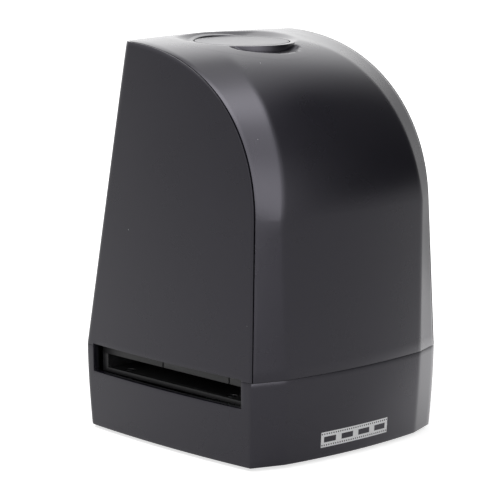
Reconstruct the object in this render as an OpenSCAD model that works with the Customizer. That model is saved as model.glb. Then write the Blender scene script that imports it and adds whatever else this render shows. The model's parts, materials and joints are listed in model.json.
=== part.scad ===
// Film negative scanner: a tower on a base, with a slot through both sides for a film holder.
// Front faces -Y, the film slides along X, and the origin is on the table under the middle.

/* [Body] */
// Width at the seam, between the sharp corner edges
body_w = 86; // [80:0.5:96]
// Depth at the seam, over the front and back crowns
body_d = 94.5; // [92:0.5:100]
// Height of the base housing
base_h = 28.7; // [28:0.1:34]
// Height of the tower above the seam, at its back edge
upper_h = 105.5; // [104:0.5:112]
// Wall thickness of the three housings
wall = 2.2; // [1.8:0.1:2.4]
// Thin outer lip that hides the edge of the front hood
lip = 0.8; // [0.6:0.1:1.2]
// Gap along the panel lines
panel_gap = 0.2; // [0.1:0.05:0.4]
// How far the sides bulge in plan
side_crown = 1.9; // [0.5:0.1:2.5]
// How far the front bulges in plan
front_crown = 2.3; // [0.5:0.1:3]
// How far the back bulges in plan
back_crown = 3; // [2.8:0.1:3.5]
// Radius of the upright back corners
back_corner_r = 3; // [2.5:0.5:5]
// Inward lean of the sides, in degrees
side_lean = 2.4; // [1:0.1:3]
// Forward lean of the back, in degrees
back_lean = 9.3; // [8:0.1:10]

/* [Arch] */
// Height above the seam where the front starts to curve over
arch_start_h = 52.4; // [48:0.2:56]
// How far the front corner edge has leaned back at that height
arch_start_in = 1.3; // [0.5:0.1:2]
// Strength of the curve at its lower end
arch_lower_pull = 31.2; // [26:0.2:34]
// Strength of the curve at its upper end
arch_upper_pull = 40.1; // [34:0.2:42]
// Upward tilt of the top at its back edge, in degrees
arch_top_tilt = 1.5; // [0:0.1:3]

/* [Facets] */
// Width of each corner facet at the seam
facet_w = 11.4; // [9:0.1:13]
// Width of each corner facet where the arch starts
facet_arch_w = 8; // [7:0.1:11]
// Depth of each corner facet from the front face back to the corner edge
facet_d = 4.2; // [3:0.1:5]
// Depth of the facets at the arch start
facet_arch_d = 4.6; // [3:0.1:5.5]
// Crown of the top at its back edge
top_crown = 0.7; // [0.4:0.1:1.2]

/* [Base] */
// How far the sides of the base draw in at the bottom
base_side_in = 0.8; // [0:0.1:1.5]
// How far the front of the base draws in at the bottom
base_front_in = 1.4; // [0:0.1:2]
// How far the back of the base draws in at the bottom
base_back_in = 1.2; // [0:0.1:1.5]
// How far each front edge of the facets draws in at the bottom
base_facet_in = 3.4; // [0:0.1:5]
// Rounding of the base's lower edge
base_edge_r = 0.5; // [0.2:0.1:0.8]
// Thickness of the bottom cover
cover_t = 2; // [1.6:0.1:2.4]
// How far the bottom cover sits inside the base's rim
cover_recess = 0.6; // [0.4:0.1:1]
// Gap around the bottom cover
cover_gap = 0.2; // [0.1:0.05:0.4]
// Height of the feet below the rim of the base
foot_stand = 1; // [0.6:0.1:2]
// Radius of a foot
foot_r = 5; // [4:0.5:6]
// Depth of a foot's seat in the bottom cover
foot_seat = 0.8; // [0.4:0.1:1]

/* [Film channel] */
// Width of the slot mouth in each side
slot_w = 75.2; // [74.8:0.1:76]
// Height of the slot mouth
slot_h = 9.7; // [9.4:0.1:10.2]
// Height of the slot's upper edge above the seam
slot_notch = 0.6; // [0.4:0.1:0.8]
// How far in front of or behind the middle the channel lies
channel_y = 1.3; // [1:0.1:1.5]
// Clear width between the side rails
channel_w = 68; // [67:0.1:68.4]
// Clear height for the film holder
channel_h = 4.8; // [4.5:0.1:5]
// Height of the channel's floor above the slot's lower edge
channel_sill = 1.3; // [1:0.1:1.6]
// How far the guides stand back from the outer corners
guide_recess = 3.2; // [3:0.1:4]
// Thickness of the lower guide's floor
guide_t = 1.6; // [1.4:0.1:2]
// Width of a side rail
rail_w = 3; // [2.6:0.1:3.2]
// Film window along the channel
window_l = 38; // [37:0.5:42]
// Film window across the channel
window_w = 26; // [25:0.5:30]
// Width of the nicks in the upper guide's edge
nick_w = 0.6; // [0.4:0.1:1]
// Depth of the nicks
nick_d = 0.8; // [0.5:0.1:1]

/* [Detent] */
// Radius of the detent plunger's head
detent_r = 1.5; // [1.3:0.1:1.6]
// Radius of the detent plunger's nose
detent_nose_r = 1; // [0.8:0.1:1.1]
// Travel of the detent plunger
detent_travel = 1; // [0.6:0.1:1.2]
// Radial running clearance of every sliding pin
running_gap = 0.06; // [0.03:0.01:0.1]

/* [Button] */
// Radius of the round button
button_r = 16.2; // [15:0.1:17]
// Gap around the button
button_gap = 0.3; // [0.2:0.05:0.5]
// Thickness of the button's cap
button_t = 1.8; // [1.4:0.1:2.4]
// Height of the button's skirt, cap included
button_skirt = 4; // [3.4:0.1:5]
// How far behind the middle the button's axis lies
button_y = 10.2; // [9.6:0.1:10.3]
// How far the button's face lies below the tower's back edge
button_drop = 1.3; // [1:0.1:1.8]
// Button travel
button_travel = 0.6; // [0.3:0.1:0.8]
// Width of the platform ring around the button
platform_w = 2.1; // [1.6:0.1:3]
// Radius of the button's guide stem
stem_r = 3; // [2.5:0.1:3.5]
// Radius of the scoop's hollow in front of the platform
scoop_r = 2; // [1.6:0.1:2.4]
// Depth of the scoop's centre line below the platform, at its front
scoop_drop = 0.9; // [0.6:0.1:1.2]
// Tilt that lifts the scoop out of the top at its ends, in degrees
scoop_tilt = 11.5; // [10:0.5:13]

/* [Optics] */
// Height of the light baffle above the chassis
baffle_h = 36; // [34:0.5:38]
// Wall of the light baffle
baffle_wall = 1.4; // [1:0.1:1.8]
// Radius of the lens barrel
barrel_r = 7; // [6.5:0.1:7.5]
// Length of the lens barrel
barrel_l = 15; // [14:0.5:16]
// Radius of the lenses
lens_r = 5; // [4.5:0.1:5.4]
// Height of the lens holder
holder_h = 14; // [13:0.5:15]

/* [Boards and screws] */
// Thickness of the circuit boards
board_t = 1.6; // [1.2:0.1:1.8]
// Shank radius of the larger screws
screw_r = 1.25; // [1.2:0.05:1.3]
// Head radius of the larger screws
head_r = 2.4; // [2.2:0.1:2.5]
// Head height of the larger screws
head_h = 1.6; // [1.4:0.1:1.8]
// Shank radius of the small screws
mini_r = 0.9; // [0.8:0.05:1]
// Head radius of the small screws
mini_head_r = 1.7; // [1.6:0.1:1.8]
// Head height of the small screws
mini_head_h = 1.1; // [1:0.1:1.3]
// Wall of a screw boss around its pilot hole
boss_wall = 1.1; // [1:0.1:1.3]

/* [Socket] */
// Width of the socket's shell
socket_w = 7.7; // [7.2:0.1:8.2]
// Height of the socket's shell
socket_h = 4; // [3.6:0.1:4.2]
// Length of the socket's shell
socket_l = 9.2; // [8.6:0.1:9.6]

/* [Hidden] */

$fn = 48;
eps = 0.05;
fit_gap = 0.05;     // air left between faces that meet
charcoal = "#3b3b40";
ink = "#17171a";
board_green = "#1f5a3a";
steel = "#b9bcc2";

// ---- Levels ----
seam_z = foot_stand + base_h;
top_z = seam_z + upper_h;
half_w = body_w / 2;
tip_y = -body_d / 2;
soft_y = tip_y + front_crown;
corner_y = soft_y + facet_d;
back_y = body_d / 2 - back_crown;
back_edge_y = back_y - upper_h * tan(back_lean);
side_radius = pow(back_y - corner_y, 2) / (8 * side_crown);
front_radius = pow(half_w - facet_w, 2) / (2 * front_crown);
facet_angle = atan(facet_d / facet_w);

// ---- Side profile of the sharp corner edge: a straight rise, then one Bezier curve ----
arch_start = [corner_y + arch_start_in, seam_z + arch_start_h];
arch_end = [back_edge_y, top_z];
rise = arch_start - [corner_y, seam_z];
arch_low = arch_start + arch_lower_pull * rise / norm(rise);
arch_high = arch_end - arch_upper_pull * [cos(arch_top_tilt), sin(arch_top_tilt)];
arch_steps = 18;
rise_steps = 2;

function bezier(u) = pow(1 - u, 3) * arch_start + 3 * pow(1 - u, 2) * u * arch_low
    + 3 * (1 - u) * u * u * arch_high + pow(u, 3) * arch_end;
function bezier_slope(u) = 3 * pow(1 - u, 2) * (arch_low - arch_start)
    + 6 * (1 - u) * u * (arch_high - arch_low) + 3 * u * u * (arch_end - arch_high);
// A station is [point, outward direction, share of the arch, share of the rise]
function rise_station(t) = [[corner_y, seam_z] + t * rise, [-1, 0], 0, t];
function arch_station(u) = let (s = bezier_slope(u)) [bezier(u), [-s[1], s[0]] / norm(s), u, 1];
stations = concat([for (i = [0:rise_steps - 1]) rise_station(i / rise_steps)],
    [for (i = [0:arch_steps]) arch_station(i / arch_steps)]);

// Half width between the corner edges at height z
function half_at(z) = half_w - (z - seam_z) * tan(side_lean);
function back_at(z) = back_y - (z - seam_z) * tan(back_lean);

// Facet width and depth at a station: the facets widen over the arch and flatten out on top
facet_spread = 9.5;
facet_spread_top = 44;
function facet_width(s) = s[3] < 1
    ? facet_w + (facet_arch_w - facet_w) * s[3]
    : facet_arch_w + facet_spread * s[2] + facet_spread_top * pow(s[2], 8);
function facet_depth(s) = s[3] < 1
    ? facet_d + (facet_arch_d - facet_d) * s[3]
    : facet_arch_d + (top_crown - facet_arch_d) * pow(s[2], 2.6);
function soft_half(s) = max(1.5, half_at(s[0][1]) - facet_width(s));

// Height of the hood's skin above the corner edge's plane, across the width
function skin_rise(s, x) = let (e = soft_half(s), h = half_at(s[0][1]), d = facet_depth(s), a = abs(x))
    a <= e ? d + (e * e - a * a) / (2 * front_radius) : d * (h - a) / (h - e);

// ---- Solids through stacked loops ----
module loft(loops) {
    n = len(loops[0]);
    m = len(loops);
    sides = [for (k = [0:m - 2]) for (i = [0:n - 1]) let (j = (i + 1) % n)
        each [[k * n + i, (k + 1) * n + i, (k + 1) * n + j], [k * n + i, (k + 1) * n + j, k * n + j]]];
    ends = [[for (i = [0:n - 1]) i], [for (i = [n - 1:-1:0]) (m - 1) * n + i]];
    polyhedron(points = [for (l = loops) each l], faces = concat(ends, sides), convexity = 10);
}

function lerp(a, b, t) = a + (b - a) * t;
function corner_arc(cx, cy, r, from, steps) = [for (i = [0:steps])
    [cx + r * cos(from + 90 * i / steps), cy + r * sin(from + 90 * i / steps)]];
function at_height(loop, z) = [for (p = loop) [p[0], p[1], z]];

side_steps = 6;
back_steps = 4;
front_steps = 5;

// Right half of a tower loop: from the front line, along the side and around the back corner
function tower_half(y_front, y_edge, z, inset) =
    let (h = half_at(z) - inset, yb = back_at(z) - inset, r = max(0.8, back_corner_r - inset),
        bulge = function (y) (y - y_edge) * (yb - y) / (2 * side_radius),
        y_end = yb - r)
    concat([[0, y_front]],
        [for (i = [0:side_steps - 1]) let (y = lerp(y_front, y_end, i / side_steps)) [h + bulge(y), y]],
        corner_arc(h - r + bulge(y_end), y_end, r, 0, 3),
        [for (i = [1:back_steps - 1]) let (t = i / back_steps)
            [(h - r) * (1 - t), yb + back_crown * (1 - pow(1 - t, 2))]],
        [[0, yb + back_crown]]);

function tower_loop(y_front, y_edge, z, inset) = let (half = tower_half(y_front, y_edge, z, inset))
    at_height(concat([for (i = [1:len(half) - 2]) half[i]], [half[len(half) - 1]],
        [for (i = [len(half) - 2:-1:1]) [-half[i][0], half[i][1]]]), z);

// Tower body, taller than the top by tower_over. reach moves its front line forward of the corner edge
tower_over = 8;
tower_reach = 30;
tower_top_room = 2 * back_corner_r + 0.6;
tower_stations = [for (s = stations) if (s[0][0] < back_edge_y - tower_top_room) s];
module tower(inset, reach, below) {
    last = tower_stations[len(tower_stations) - 1];
    first = tower_stations[0];
    loft(concat(
        below > 0 ? [tower_loop(first[0][0] - reach, first[0][0], seam_z - below, inset)] : [],
        [for (s = tower_stations) tower_loop(s[0][0] - reach, s[0][0], s[0][1], inset)],
        [tower_loop(last[0][0] - reach, last[0][0], top_z + tower_over, inset)]));
}

// ---- Skin of the front, arch and top, swept along the stations ----
facet_steps = 2;
hood_edge = lip + panel_gap;
skin_margin = 0.5;
function skin_xs(s, margin) = let (e = soft_half(s), h = half_at(s[0][1]) + margin)
    concat([for (i = [0:facet_steps - 1]) -lerp(h, e, i / facet_steps)],
        [for (i = [0:2 * front_steps]) lerp(-e, e, i / (2 * front_steps))],
        [for (i = [1:facet_steps]) lerp(e, h, i / facet_steps)]);
function on_station(s, x, n) = [x, s[0][0] + n * s[1][0], s[0][1] + n * s[1][1]];
function skin_section(s, low, high, margin) = let (xs = skin_xs(s, margin)) concat(
    [for (x = xs) on_station(s, x, high + skin_rise(s, x))],
    [for (i = [len(xs) - 1:-1:0]) on_station(s, xs[i], low + skin_rise(s, xs[i]))]);
function shifted(s, d) = [s[0] + d, s[1], s[2], s[3]];
first_station = stations[0];
last_station = stations[len(stations) - 1];
past_station = shifted(last_station, (back_crown + 1) * [cos(arch_top_tilt), sin(arch_top_tilt)]);
module skin(low, high) {
    list = concat([shifted(first_station, [0, -1])], stations, [past_station]);
    loft([for (s = list) skin_section(s, low, high, skin_margin)]);
}
// Everything above the skin, behind the tower's front line
module above_top() {
    list = concat([for (i = [len(tower_stations) - 2:len(stations) - 1]) stations[i]], [past_station]);
    loft([for (s = list) skin_section(s, 0, 2 * tower_over, tower_over)]);
}

// ---- Base loops ----
base_levels = 7;
function base_draw(z) = pow(max(0, seam_z - z) / base_h, 1.7);
function base_half(z, inset) =
    let (f = base_draw(z), h = half_w - base_side_in * f - inset,
        yc = corner_y + base_front_in * f + inset * (1 - sin(facet_angle)) / cos(facet_angle),
        ys = soft_y + base_front_in * f * 0.9 + inset,
        e = half_w - facet_w - base_facet_in * (seam_z - z) / base_h - inset * tan(facet_angle / 2),
        yb = back_y - base_back_in * f - inset, r = max(0.8, back_corner_r - inset),
        bulge = function (y) (y - yc) * (yb - y) / (2 * side_radius))
    concat([for (i = [1:front_steps]) let (t = i / front_steps)
            [e * t, ys - front_crown * (1 - t * t)]],
        [for (i = [0:side_steps - 1]) let (y = lerp(yc, yb - r, i / side_steps)) [h + bulge(y), y]],
        corner_arc(h - r + bulge(yb - r), yb - r, r, 0, 3),
        [for (i = [1:back_steps - 1]) let (t = i / back_steps)
            [(h - r) * (1 - t), yb + back_crown * (1 - pow(1 - t, 2))]]);
function base_loop(z, inset) = let (half = base_half(z, inset), n = len(half),
        ys = soft_y + base_front_in * base_draw(z) * 0.9 + inset,
        yb = back_y - base_back_in * base_draw(z) - inset)
    at_height(concat([[0, ys - front_crown]], half, [[0, yb + back_crown]],
        [for (i = [n - 1:-1:0]) [-half[i][0], half[i][1]]]), z);
base_edge_steps = 3;
module base_block(inset, z_low, z_high, edge_r) {
    rounding = [for (i = [0:base_edge_steps - 1]) let (a = 90 * i / base_edge_steps)
        base_loop(z_low + edge_r * (1 - cos(a)), inset + edge_r * (1 - sin(a)))];
    loft(concat(edge_r > 0 ? rounding : [],
        [for (i = [0:base_levels]) base_loop(lerp(z_low + edge_r, z_high, i / base_levels), inset)]));
}

// ---- Small shared shapes ----
module slab(x0, x1, y0, y1, z0, z1) {
    translate([x0, y0, z0]) cube([x1 - x0, y1 - y0, z1 - z0]);
}
module mirrored_slab(x0, x1, y0, y1, z0, z1) {
    slab(x0, x1, y0, y1, z0, z1);
    slab(-x1, -x0, y0, y1, z0, z1);
}
module pole(p, r, h) {
    translate(p) cylinder(r = r, h = h);
}
module pole_at(p) {
    translate(p) children();
}
// Pan-head screw, pointing up from its head's top face at the origin
module screw(r, hr, hh, l) {
    recess_w = hr * 0.9;
    difference() {
        union() {
            translate([0, 0, hh / 2]) cylinder(r = hr, h = hh / 2);
            cylinder(r1 = hr * 0.8, r2 = hr, h = hh / 2);
            translate([0, 0, hh - eps]) cylinder(r = r, h = l + eps);
        }
        for (a = [0, 90]) rotate(a) translate([-recess_w / 2, -0.3, -eps]) cube([recess_w, 0.6, hh * 0.5]);
    }
}
module large_screw(l) {
    screw(screw_r, head_r, head_h, l);
}
module mini_screw(l) {
    screw(mini_r, mini_head_r, mini_head_h, l);
}
// Coil of round wire around the Z axis, with closed ends left open
module coil(r, wire_r, turns, h) {
    ring_n = 16;
    wire_n = 8;
    loft([for (i = [0:ring_n * turns]) let (a = 360 * i / ring_n, z = h * i / (ring_n * turns))
        [for (j = [0:wire_n - 1]) let (b = -360 * j / wire_n)
            [(r + wire_r * cos(b)) * cos(a), (r + wire_r * cos(b)) * sin(a), z + wire_r * sin(b)]]]);
}
// Flat strip that follows points in the YZ plane, width w along X
module strip(points, t, x_mid, w) {
    n = len(points);
    function dir(i) = let (d = points[min(n - 1, i + 1)] - points[max(0, i - 1)]) [-d[1], d[0]] / norm(d);
    outline = concat([for (i = [0:n - 1]) points[i] + dir(i) * t / 2],
        [for (i = [n - 1:-1:0]) points[i] - dir(i) * t / 2]);
    translate([x_mid - w / 2, 0, 0]) rotate([90, 0, 90]) linear_extrude(w) polygon(outline);
}

// ---- Film channel levels ----
slot_top = seam_z + slot_notch;
slot_low = slot_top - slot_h;
floor_z = slot_low + channel_sill;
roof_z = floor_z + channel_h;
guide_x = half_w - guide_recess;
channel_front = channel_y - channel_w / 2;
channel_back = channel_y + channel_w / 2;
rail_front = channel_front - rail_w;
rail_back = channel_back + rail_w;
guide_low = floor_z - guide_t;
rail_top = roof_z - fit_gap;
guide_screw_x = guide_x - 3.2;
guide_screw_y = 26;
guide_screw_l = 4;
guide_points = corners(guide_screw_x, channel_y, guide_screw_y);

// Four points, x to both sides and y to both sides of a middle
function corners(x, y_mid, y_off) = [for (sx = [-1, 1]) for (sy = [-1, 1]) [sx * x, y_mid + sy * y_off]];

// ---- Base ----
cover_low = foot_stand + cover_recess;
cover_top = cover_low + cover_t;
cover_boss_x = guide_x - 4.3;
cover_boss_y = slot_w / 2 - 4.1;
cover_boss_r = mini_r + boss_wall;
cover_screw_l = 6;
cover_points = corners(cover_boss_x, channel_y, cover_boss_y);
base_boss_r = screw_r + boss_wall * 0.8;
base_boss_x = 24;
rail_notch = 1.2;
base_boss_front = rail_front - base_boss_r - 0.6;
base_boss_back = rail_back + base_boss_r - rail_notch;
base_points = [for (x = [-1, 1]) for (y = [base_boss_front, base_boss_back]) [x * base_boss_x, y]];
base_seat_z = 17;
pocket_r = head_r + 0.2;
pocket_wall = boss_wall * 0.7;
base_screw_grip = 6;
ledge_in = 5;
ledge_z = guide_low - 2.4;

module base_housing() {
    color(charcoal) difference() {
        base_block(0, foot_stand, seam_z - fit_gap / 2, base_edge_r);
        difference() {
            base_block(wall, foot_stand - eps, seam_z + eps, 0);
            base_inside();
        }
        mirrored_slab(guide_x - 1, half_w + side_crown + 1, channel_y - slot_w / 2, channel_y + slot_w / 2,
            slot_low, seam_z + 1);
        for (p = base_points) {
            pole([p[0], p[1], base_seat_z - 1], screw_r + fit_gap, seam_z);
            pole([p[0], p[1], -1], pocket_r, base_seat_z + 1);
        }
        for (p = cover_points) pole([p[0], p[1], cover_top - 1], mini_r, cover_screw_l + 1);
        for (p = guide_points) pole([p[0], p[1], guide_low - guide_screw_l], mini_r, guide_screw_l + 1);
    }
}

// Ledges, bosses and gussets that stand inside the base
module base_inside() {
    mirrored_slab(guide_x - ledge_in, body_w, tip_y, -tip_y, ledge_z, guide_low - fit_gap);
    for (p = base_points) {
        side = sign(p[1]);
        pole([p[0], p[1], cover_top + 0.4], pocket_r + pocket_wall, base_seat_z + 2 - cover_top);
        pole([p[0], p[1], base_seat_z], base_boss_r, seam_z - base_seat_z - fit_gap);
        slab(p[0] - 0.6, p[0] + 0.6, min(p[1], side * body_d), max(p[1], side * body_d), cover_top + 1,
            seam_z - 1);
    }
    for (p = cover_points) pole([p[0], p[1], cover_top + fit_gap], cover_boss_r, ledge_z - cover_top + 0.5);
    for (p = guide_points) pole([p[0], p[1], guide_low - guide_screw_l - 1], cover_boss_r, guide_screw_l);
}

module bottom_cover() {
    color(charcoal) difference() {
        union() {
            loft([base_loop(cover_low, wall + cover_gap), base_loop(cover_top, wall + cover_gap)]);
            for (p = backlight_points) pole([p[0], p[1], cover_top - 1], cover_boss_r, backlight_h + 1);
        }
        for (p = cover_points) {
            pole([p[0], p[1], cover_low - 1], mini_r + fit_gap, cover_t + 2);
            pole([p[0], p[1], cover_low - 1], mini_head_r + 0.1, 1 + mini_head_h);
        }
        for (p = base_points) pole([p[0], p[1], cover_low - 1], pocket_r, cover_t + 2);
        for (p = foot_points) pole([p[0], p[1], cover_low - 1], foot_r + fit_gap, 1 + foot_seat);
        for (p = backlight_points) pole([p[0], p[1], cover_top], mini_r, backlight_h + 1);
    }
}

foot_side_in = 15;
foot_end_in = 24.25;
foot_x = half_w - foot_side_in;
foot_y = body_d / 2 - foot_end_in;
foot_points = corners(foot_x, 0, foot_y);
foot_bevel = 0.5;
module rubber_feet() {
    color(ink) for (p = foot_points) translate([p[0], p[1], 0]) {
        cylinder(r1 = foot_r - foot_bevel, r2 = foot_r, h = foot_bevel);
        translate([0, 0, foot_bevel]) cylinder(r = foot_r, h = cover_low + foot_seat - foot_bevel);
    }
}

module cover_screws() {
    color(steel) for (p = cover_points) pole_at([p[0], p[1], cover_low]) mini_screw(cover_screw_l);
}

module base_screws() {
    color(steel) for (p = base_points) pole_at([p[0], p[1], base_seat_z - head_h])
        large_screw(seam_z - base_seat_z + base_screw_grip);
}

// ---- Backlight ----
backlight_h = 3.2;
backlight_w = 34;
backlight_d = 32;
board_edge = 3;
backlight_points = corners(backlight_w / 2 - board_edge, channel_y, backlight_d / 2 - 1.8 * board_edge);
backlight_z = cover_top + backlight_h;
backlight_top = backlight_z + board_t;
led_pitch = 8;
led_h = 0.9;
module backlight_board() {
    color(board_green) difference() {
        slab(-backlight_w / 2, backlight_w / 2, channel_y - backlight_d / 2, channel_y + backlight_d / 2,
            backlight_z, backlight_top);
        for (p = backlight_points) pole([p[0], p[1], backlight_z - 1], mini_r + fit_gap, board_t + 2);
    }
}
module backlight_leds() {
    color("#f2e7a0") for (i = [-1:1]) translate([i * led_pitch, channel_y, backlight_top]) {
        translate([-1.75, -1.4, 0]) cube([3.5, 2.8, 0.7]);
        translate([0, 0, 0.6]) cylinder(r1 = 1.2, r2 = 1, h = led_h - 0.6);
    }
}
module backlight_screws() {
    color(steel) for (p = backlight_points) pole_at([p[0], p[1], backlight_top + mini_head_h])
        mirror([0, 0, 1]) mini_screw(board_t + backlight_h - 1);
}

reflector_rim = 5;
reflector_t = 1.2;
reflector_low = backlight_top + mini_head_h + 0.2;
diffuser_t = 2;
reflector_top = guide_low - fit_gap - diffuser_t;
// Straight-sided funnel between two rectangles centred on the channel
module funnel(l0, w0, z0, l1, w1, z1, y_mid) {
    function ring(l, w, z) = at_height([[-l / 2, y_mid - w / 2], [l / 2, y_mid - w / 2],
        [l / 2, y_mid + w / 2], [-l / 2, y_mid + w / 2]], z);
    loft([ring(l0, w0, z0), ring(l1, w1, z1)]);
}
module reflector_box() {
    taper = 8;
    t2 = 2 * reflector_t;
    rim_l = window_l + 2 * reflector_rim;
    rim_w = window_w + 2 * reflector_rim;
    color("#f4f4f2") difference() {
        union() {
            funnel(window_l - taper, window_w - taper, reflector_low, window_l + taper / 2,
                window_w + taper / 2, reflector_top, channel_y);
            slab(-rim_l / 2, rim_l / 2, channel_y - rim_w / 2, channel_y + rim_w / 2,
                reflector_top - reflector_t, reflector_top);
        }
        funnel(window_l - taper - t2, window_w - taper - t2, reflector_low - eps,
            window_l + taper / 2 - t2, window_w + taper / 2 - t2, reflector_top + eps, channel_y);
    }
}
module diffuser_plate() {
    grow = reflector_rim - 0.5;
    color("#fbfbf6") slab(-window_l / 2 - grow, window_l / 2 + grow, channel_y - window_w / 2 - grow,
        channel_y + window_w / 2 + grow, reflector_top, guide_low - fit_gap);
}

// ---- Lower film guide, with the housing of the detent in its rear rail ----
detent_z = (floor_z + rail_top) / 2;
detent_lip_y = channel_back + 1;
detent_head_l = 1.8;
detent_room = detent_travel + 0.8;
detent_spring_y = detent_lip_y + detent_head_l;
detent_back_y = detent_spring_y + detent_room;
detent_cap_t = 0.8;
detent_half = 3.4;
module lower_film_guide() {
    color(ink) difference() {
        union() {
            slab(-guide_x, guide_x, rail_front, rail_back, guide_low, floor_z);
            slab(-guide_x, guide_x, rail_front, channel_front, floor_z - eps, rail_top);
            slab(-guide_x, guide_x, channel_back, rail_back, floor_z - eps, rail_top);
            slab(-detent_half, detent_half, channel_back, detent_back_y + detent_cap_t, guide_low, rail_top);
        }
        slab(-window_l / 2, window_l / 2, channel_y - window_w / 2, channel_y + window_w / 2, guide_low - 1,
            floor_z + 1);
        for (p = guide_points) {
            pole([p[0], p[1], guide_low - 1], mini_r + fit_gap, guide_t + 2);
            pole([p[0], p[1], floor_z - mini_head_h - fit_gap], mini_head_r + 0.1, channel_h);
        }
        for (p = base_points) pole([p[0], p[1], guide_low - 1], base_boss_r + 0.2, channel_h + 4);
        along_y([0, detent_lip_y, detent_z], detent_r + running_gap, body_d);
        along_y([0, channel_back - 1, detent_z], detent_nose_r + running_gap, 3);
    }
}
module along_y(p, r, l) {
    translate(p) rotate([-90, 0, 0]) cylinder(r = r, h = l);
}
module guide_screws() {
    color(steel) for (p = guide_points) pole_at([p[0], p[1], floor_z - fit_gap])
        mirror([0, 0, 1]) mini_screw(guide_screw_l);
}
detent_nose_l = 1 + detent_travel;
module detent_plunger() {
    color(steel) {
        along_y([0, detent_lip_y + 0.02, detent_z], detent_r, detent_head_l - 0.02);
        along_y([0, detent_lip_y - detent_nose_l + detent_nose_r, detent_z], detent_nose_r,
            detent_nose_l - detent_nose_r + 0.1);
        translate([0, detent_lip_y - detent_nose_l + detent_nose_r, detent_z]) sphere(r = detent_nose_r);
    }
}
module detent_spring() {
    wire = 0.15;
    color(steel) translate([0, detent_spring_y + wire, detent_z]) rotate([-90, 0, 0])
        coil(detent_r - 0.5, wire, 4, detent_room - 2 * wire);
}
module detent_cap() {
    color(ink) along_y([0, detent_back_y, detent_z], detent_r + running_gap, detent_cap_t);
}

// ---- Upper film guide ----
upper_guide_top = seam_z + 0.1;
upper_screw_x = 30;
upper_screw_y = 22;
upper_screw_l = 3.6;
upper_points = corners(upper_screw_x, channel_y, upper_screw_y);
nick_from_front = 6;
nick_past_middle = 5;
nick_points = [channel_y + nick_past_middle, channel_front + nick_from_front];
module upper_film_guide() {
    color(ink) difference() {
        slab(-guide_x, guide_x, rail_front, rail_back, roof_z, upper_guide_top);
        slab(-window_l / 2, window_l / 2, channel_y - window_w / 2, channel_y + window_w / 2, roof_z - 1,
            upper_guide_top + 1);
        for (y = nick_points) mirrored_slab(guide_x - nick_d, guide_x + 1, y - nick_w / 2, y + nick_w / 2,
            roof_z - 1, upper_guide_top + 1);
        for (p = upper_points) {
            pole([p[0], p[1], roof_z - 1], mini_r + fit_gap, channel_h);
            pole([p[0], p[1], roof_z - 1], mini_head_r + 0.1, 1 + mini_head_h + fit_gap);
        }
        for (p = base_points) pole([p[0], p[1], roof_z - 1], base_boss_r + 0.2, channel_h + 4);
    }
}
module upper_guide_screws() {
    color(steel) for (p = upper_points) pole_at([p[0], p[1], roof_z + fit_gap]) mini_screw(upper_screw_l);
}

// ---- Chassis ----
chassis_z = upper_guide_top + 0.05;
chassis_t = 2.6;
chassis_top = chassis_z + chassis_t;
chassis_x = half_w - wall - 3.4;
chassis_front = corner_y + wall + 0.6;
chassis_back = back_y - wall - 2.15;
chassis_boss_h = base_screw_grip + seam_z - chassis_z + 1;
tower_boss_y = 24;
tower_points = corners(chassis_x - 3, channel_y, tower_boss_y);
tower_boss_h = 7;
tower_boss_r = 2.4;
upright_x = 26;
upright_w = 5;
board_y = 27;
upright_y = board_y - 4;
upright_h = 62;
rib_l = 6;
rib_h = 24;
rib_t = 1.6;
main_board_low = chassis_top + 8;
main_board_h = 52;
board_screw_l = 3.6;
main_board_points = [for (x = [-1, 1]) for (z = [main_board_low + 4, main_board_low + main_board_h - 4])
    [x * upright_x, z]];
usb_board_z = chassis_top + 3;
usb_board_x = 10;
usb_board_front = board_y + board_t + 1;
usb_board_back = back_y - wall - 1.4;
usb_points = [for (x = [-1, 1]) [x * (usb_board_x - 2.2), usb_board_back - 3]];
module chassis() {
    color("#2b2b2f") difference() {
        union() {
            slab(-chassis_x, chassis_x, chassis_front, chassis_back, chassis_z, chassis_top);
            for (p = base_points) pole([p[0], p[1], chassis_z], base_boss_r, chassis_boss_h);
            for (x = [-1, 1]) {
                slab(x * upright_x - upright_w / 2, x * upright_x + upright_w / 2, upright_y, board_y,
                    chassis_top - 1, chassis_top + upright_h);
                slab(x * upright_x - rib_t / 2, x * upright_x + rib_t / 2, upright_y - rib_l, upright_y + 1,
                    chassis_top - 1, chassis_top + rib_h);
            }
            for (p = usb_points) pole([p[0], p[1], chassis_z], cover_boss_r, usb_board_z - chassis_z);
        }
        slab(-window_l / 2, window_l / 2, channel_y - window_w / 2, channel_y + window_w / 2, chassis_z - 1,
            chassis_top + 1);
        for (p = base_points) pole([p[0], p[1], chassis_z - 1], screw_r, chassis_boss_h + 2);
        for (p = tower_points) {
            pole([p[0], p[1], chassis_z - 1], mini_r + fit_gap, chassis_t + 2);
            pole([p[0], p[1], chassis_z - 1], mini_head_r + 0.1, 1 + mini_head_h + fit_gap);
        }
        for (p = upper_points) pole([p[0], p[1], chassis_z - 1], mini_r, chassis_t + 2);
        for (p = baffle_points) pole([p[0], p[1], chassis_z - 1], mini_r, chassis_t + 2);
        for (p = usb_points) pole([p[0], p[1], chassis_z - 1], mini_r, usb_board_z);
        for (p = main_board_points) along_y([p[0], board_y - board_screw_l, p[1]], mini_r, board_screw_l + 1);
        slab(power_x - power_w / 2 - wire_room, power_x + power_w / 2 + wire_room, power_back_y - wire_room,
            back_y + back_crown, chassis_z - 1, chassis_top + 1);
    }
}
tower_screw_l = 5;
module chassis_screws() {
    color(steel) for (p = tower_points) pole_at([p[0], p[1], chassis_z + fit_gap]) mini_screw(tower_screw_l);
}

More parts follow.
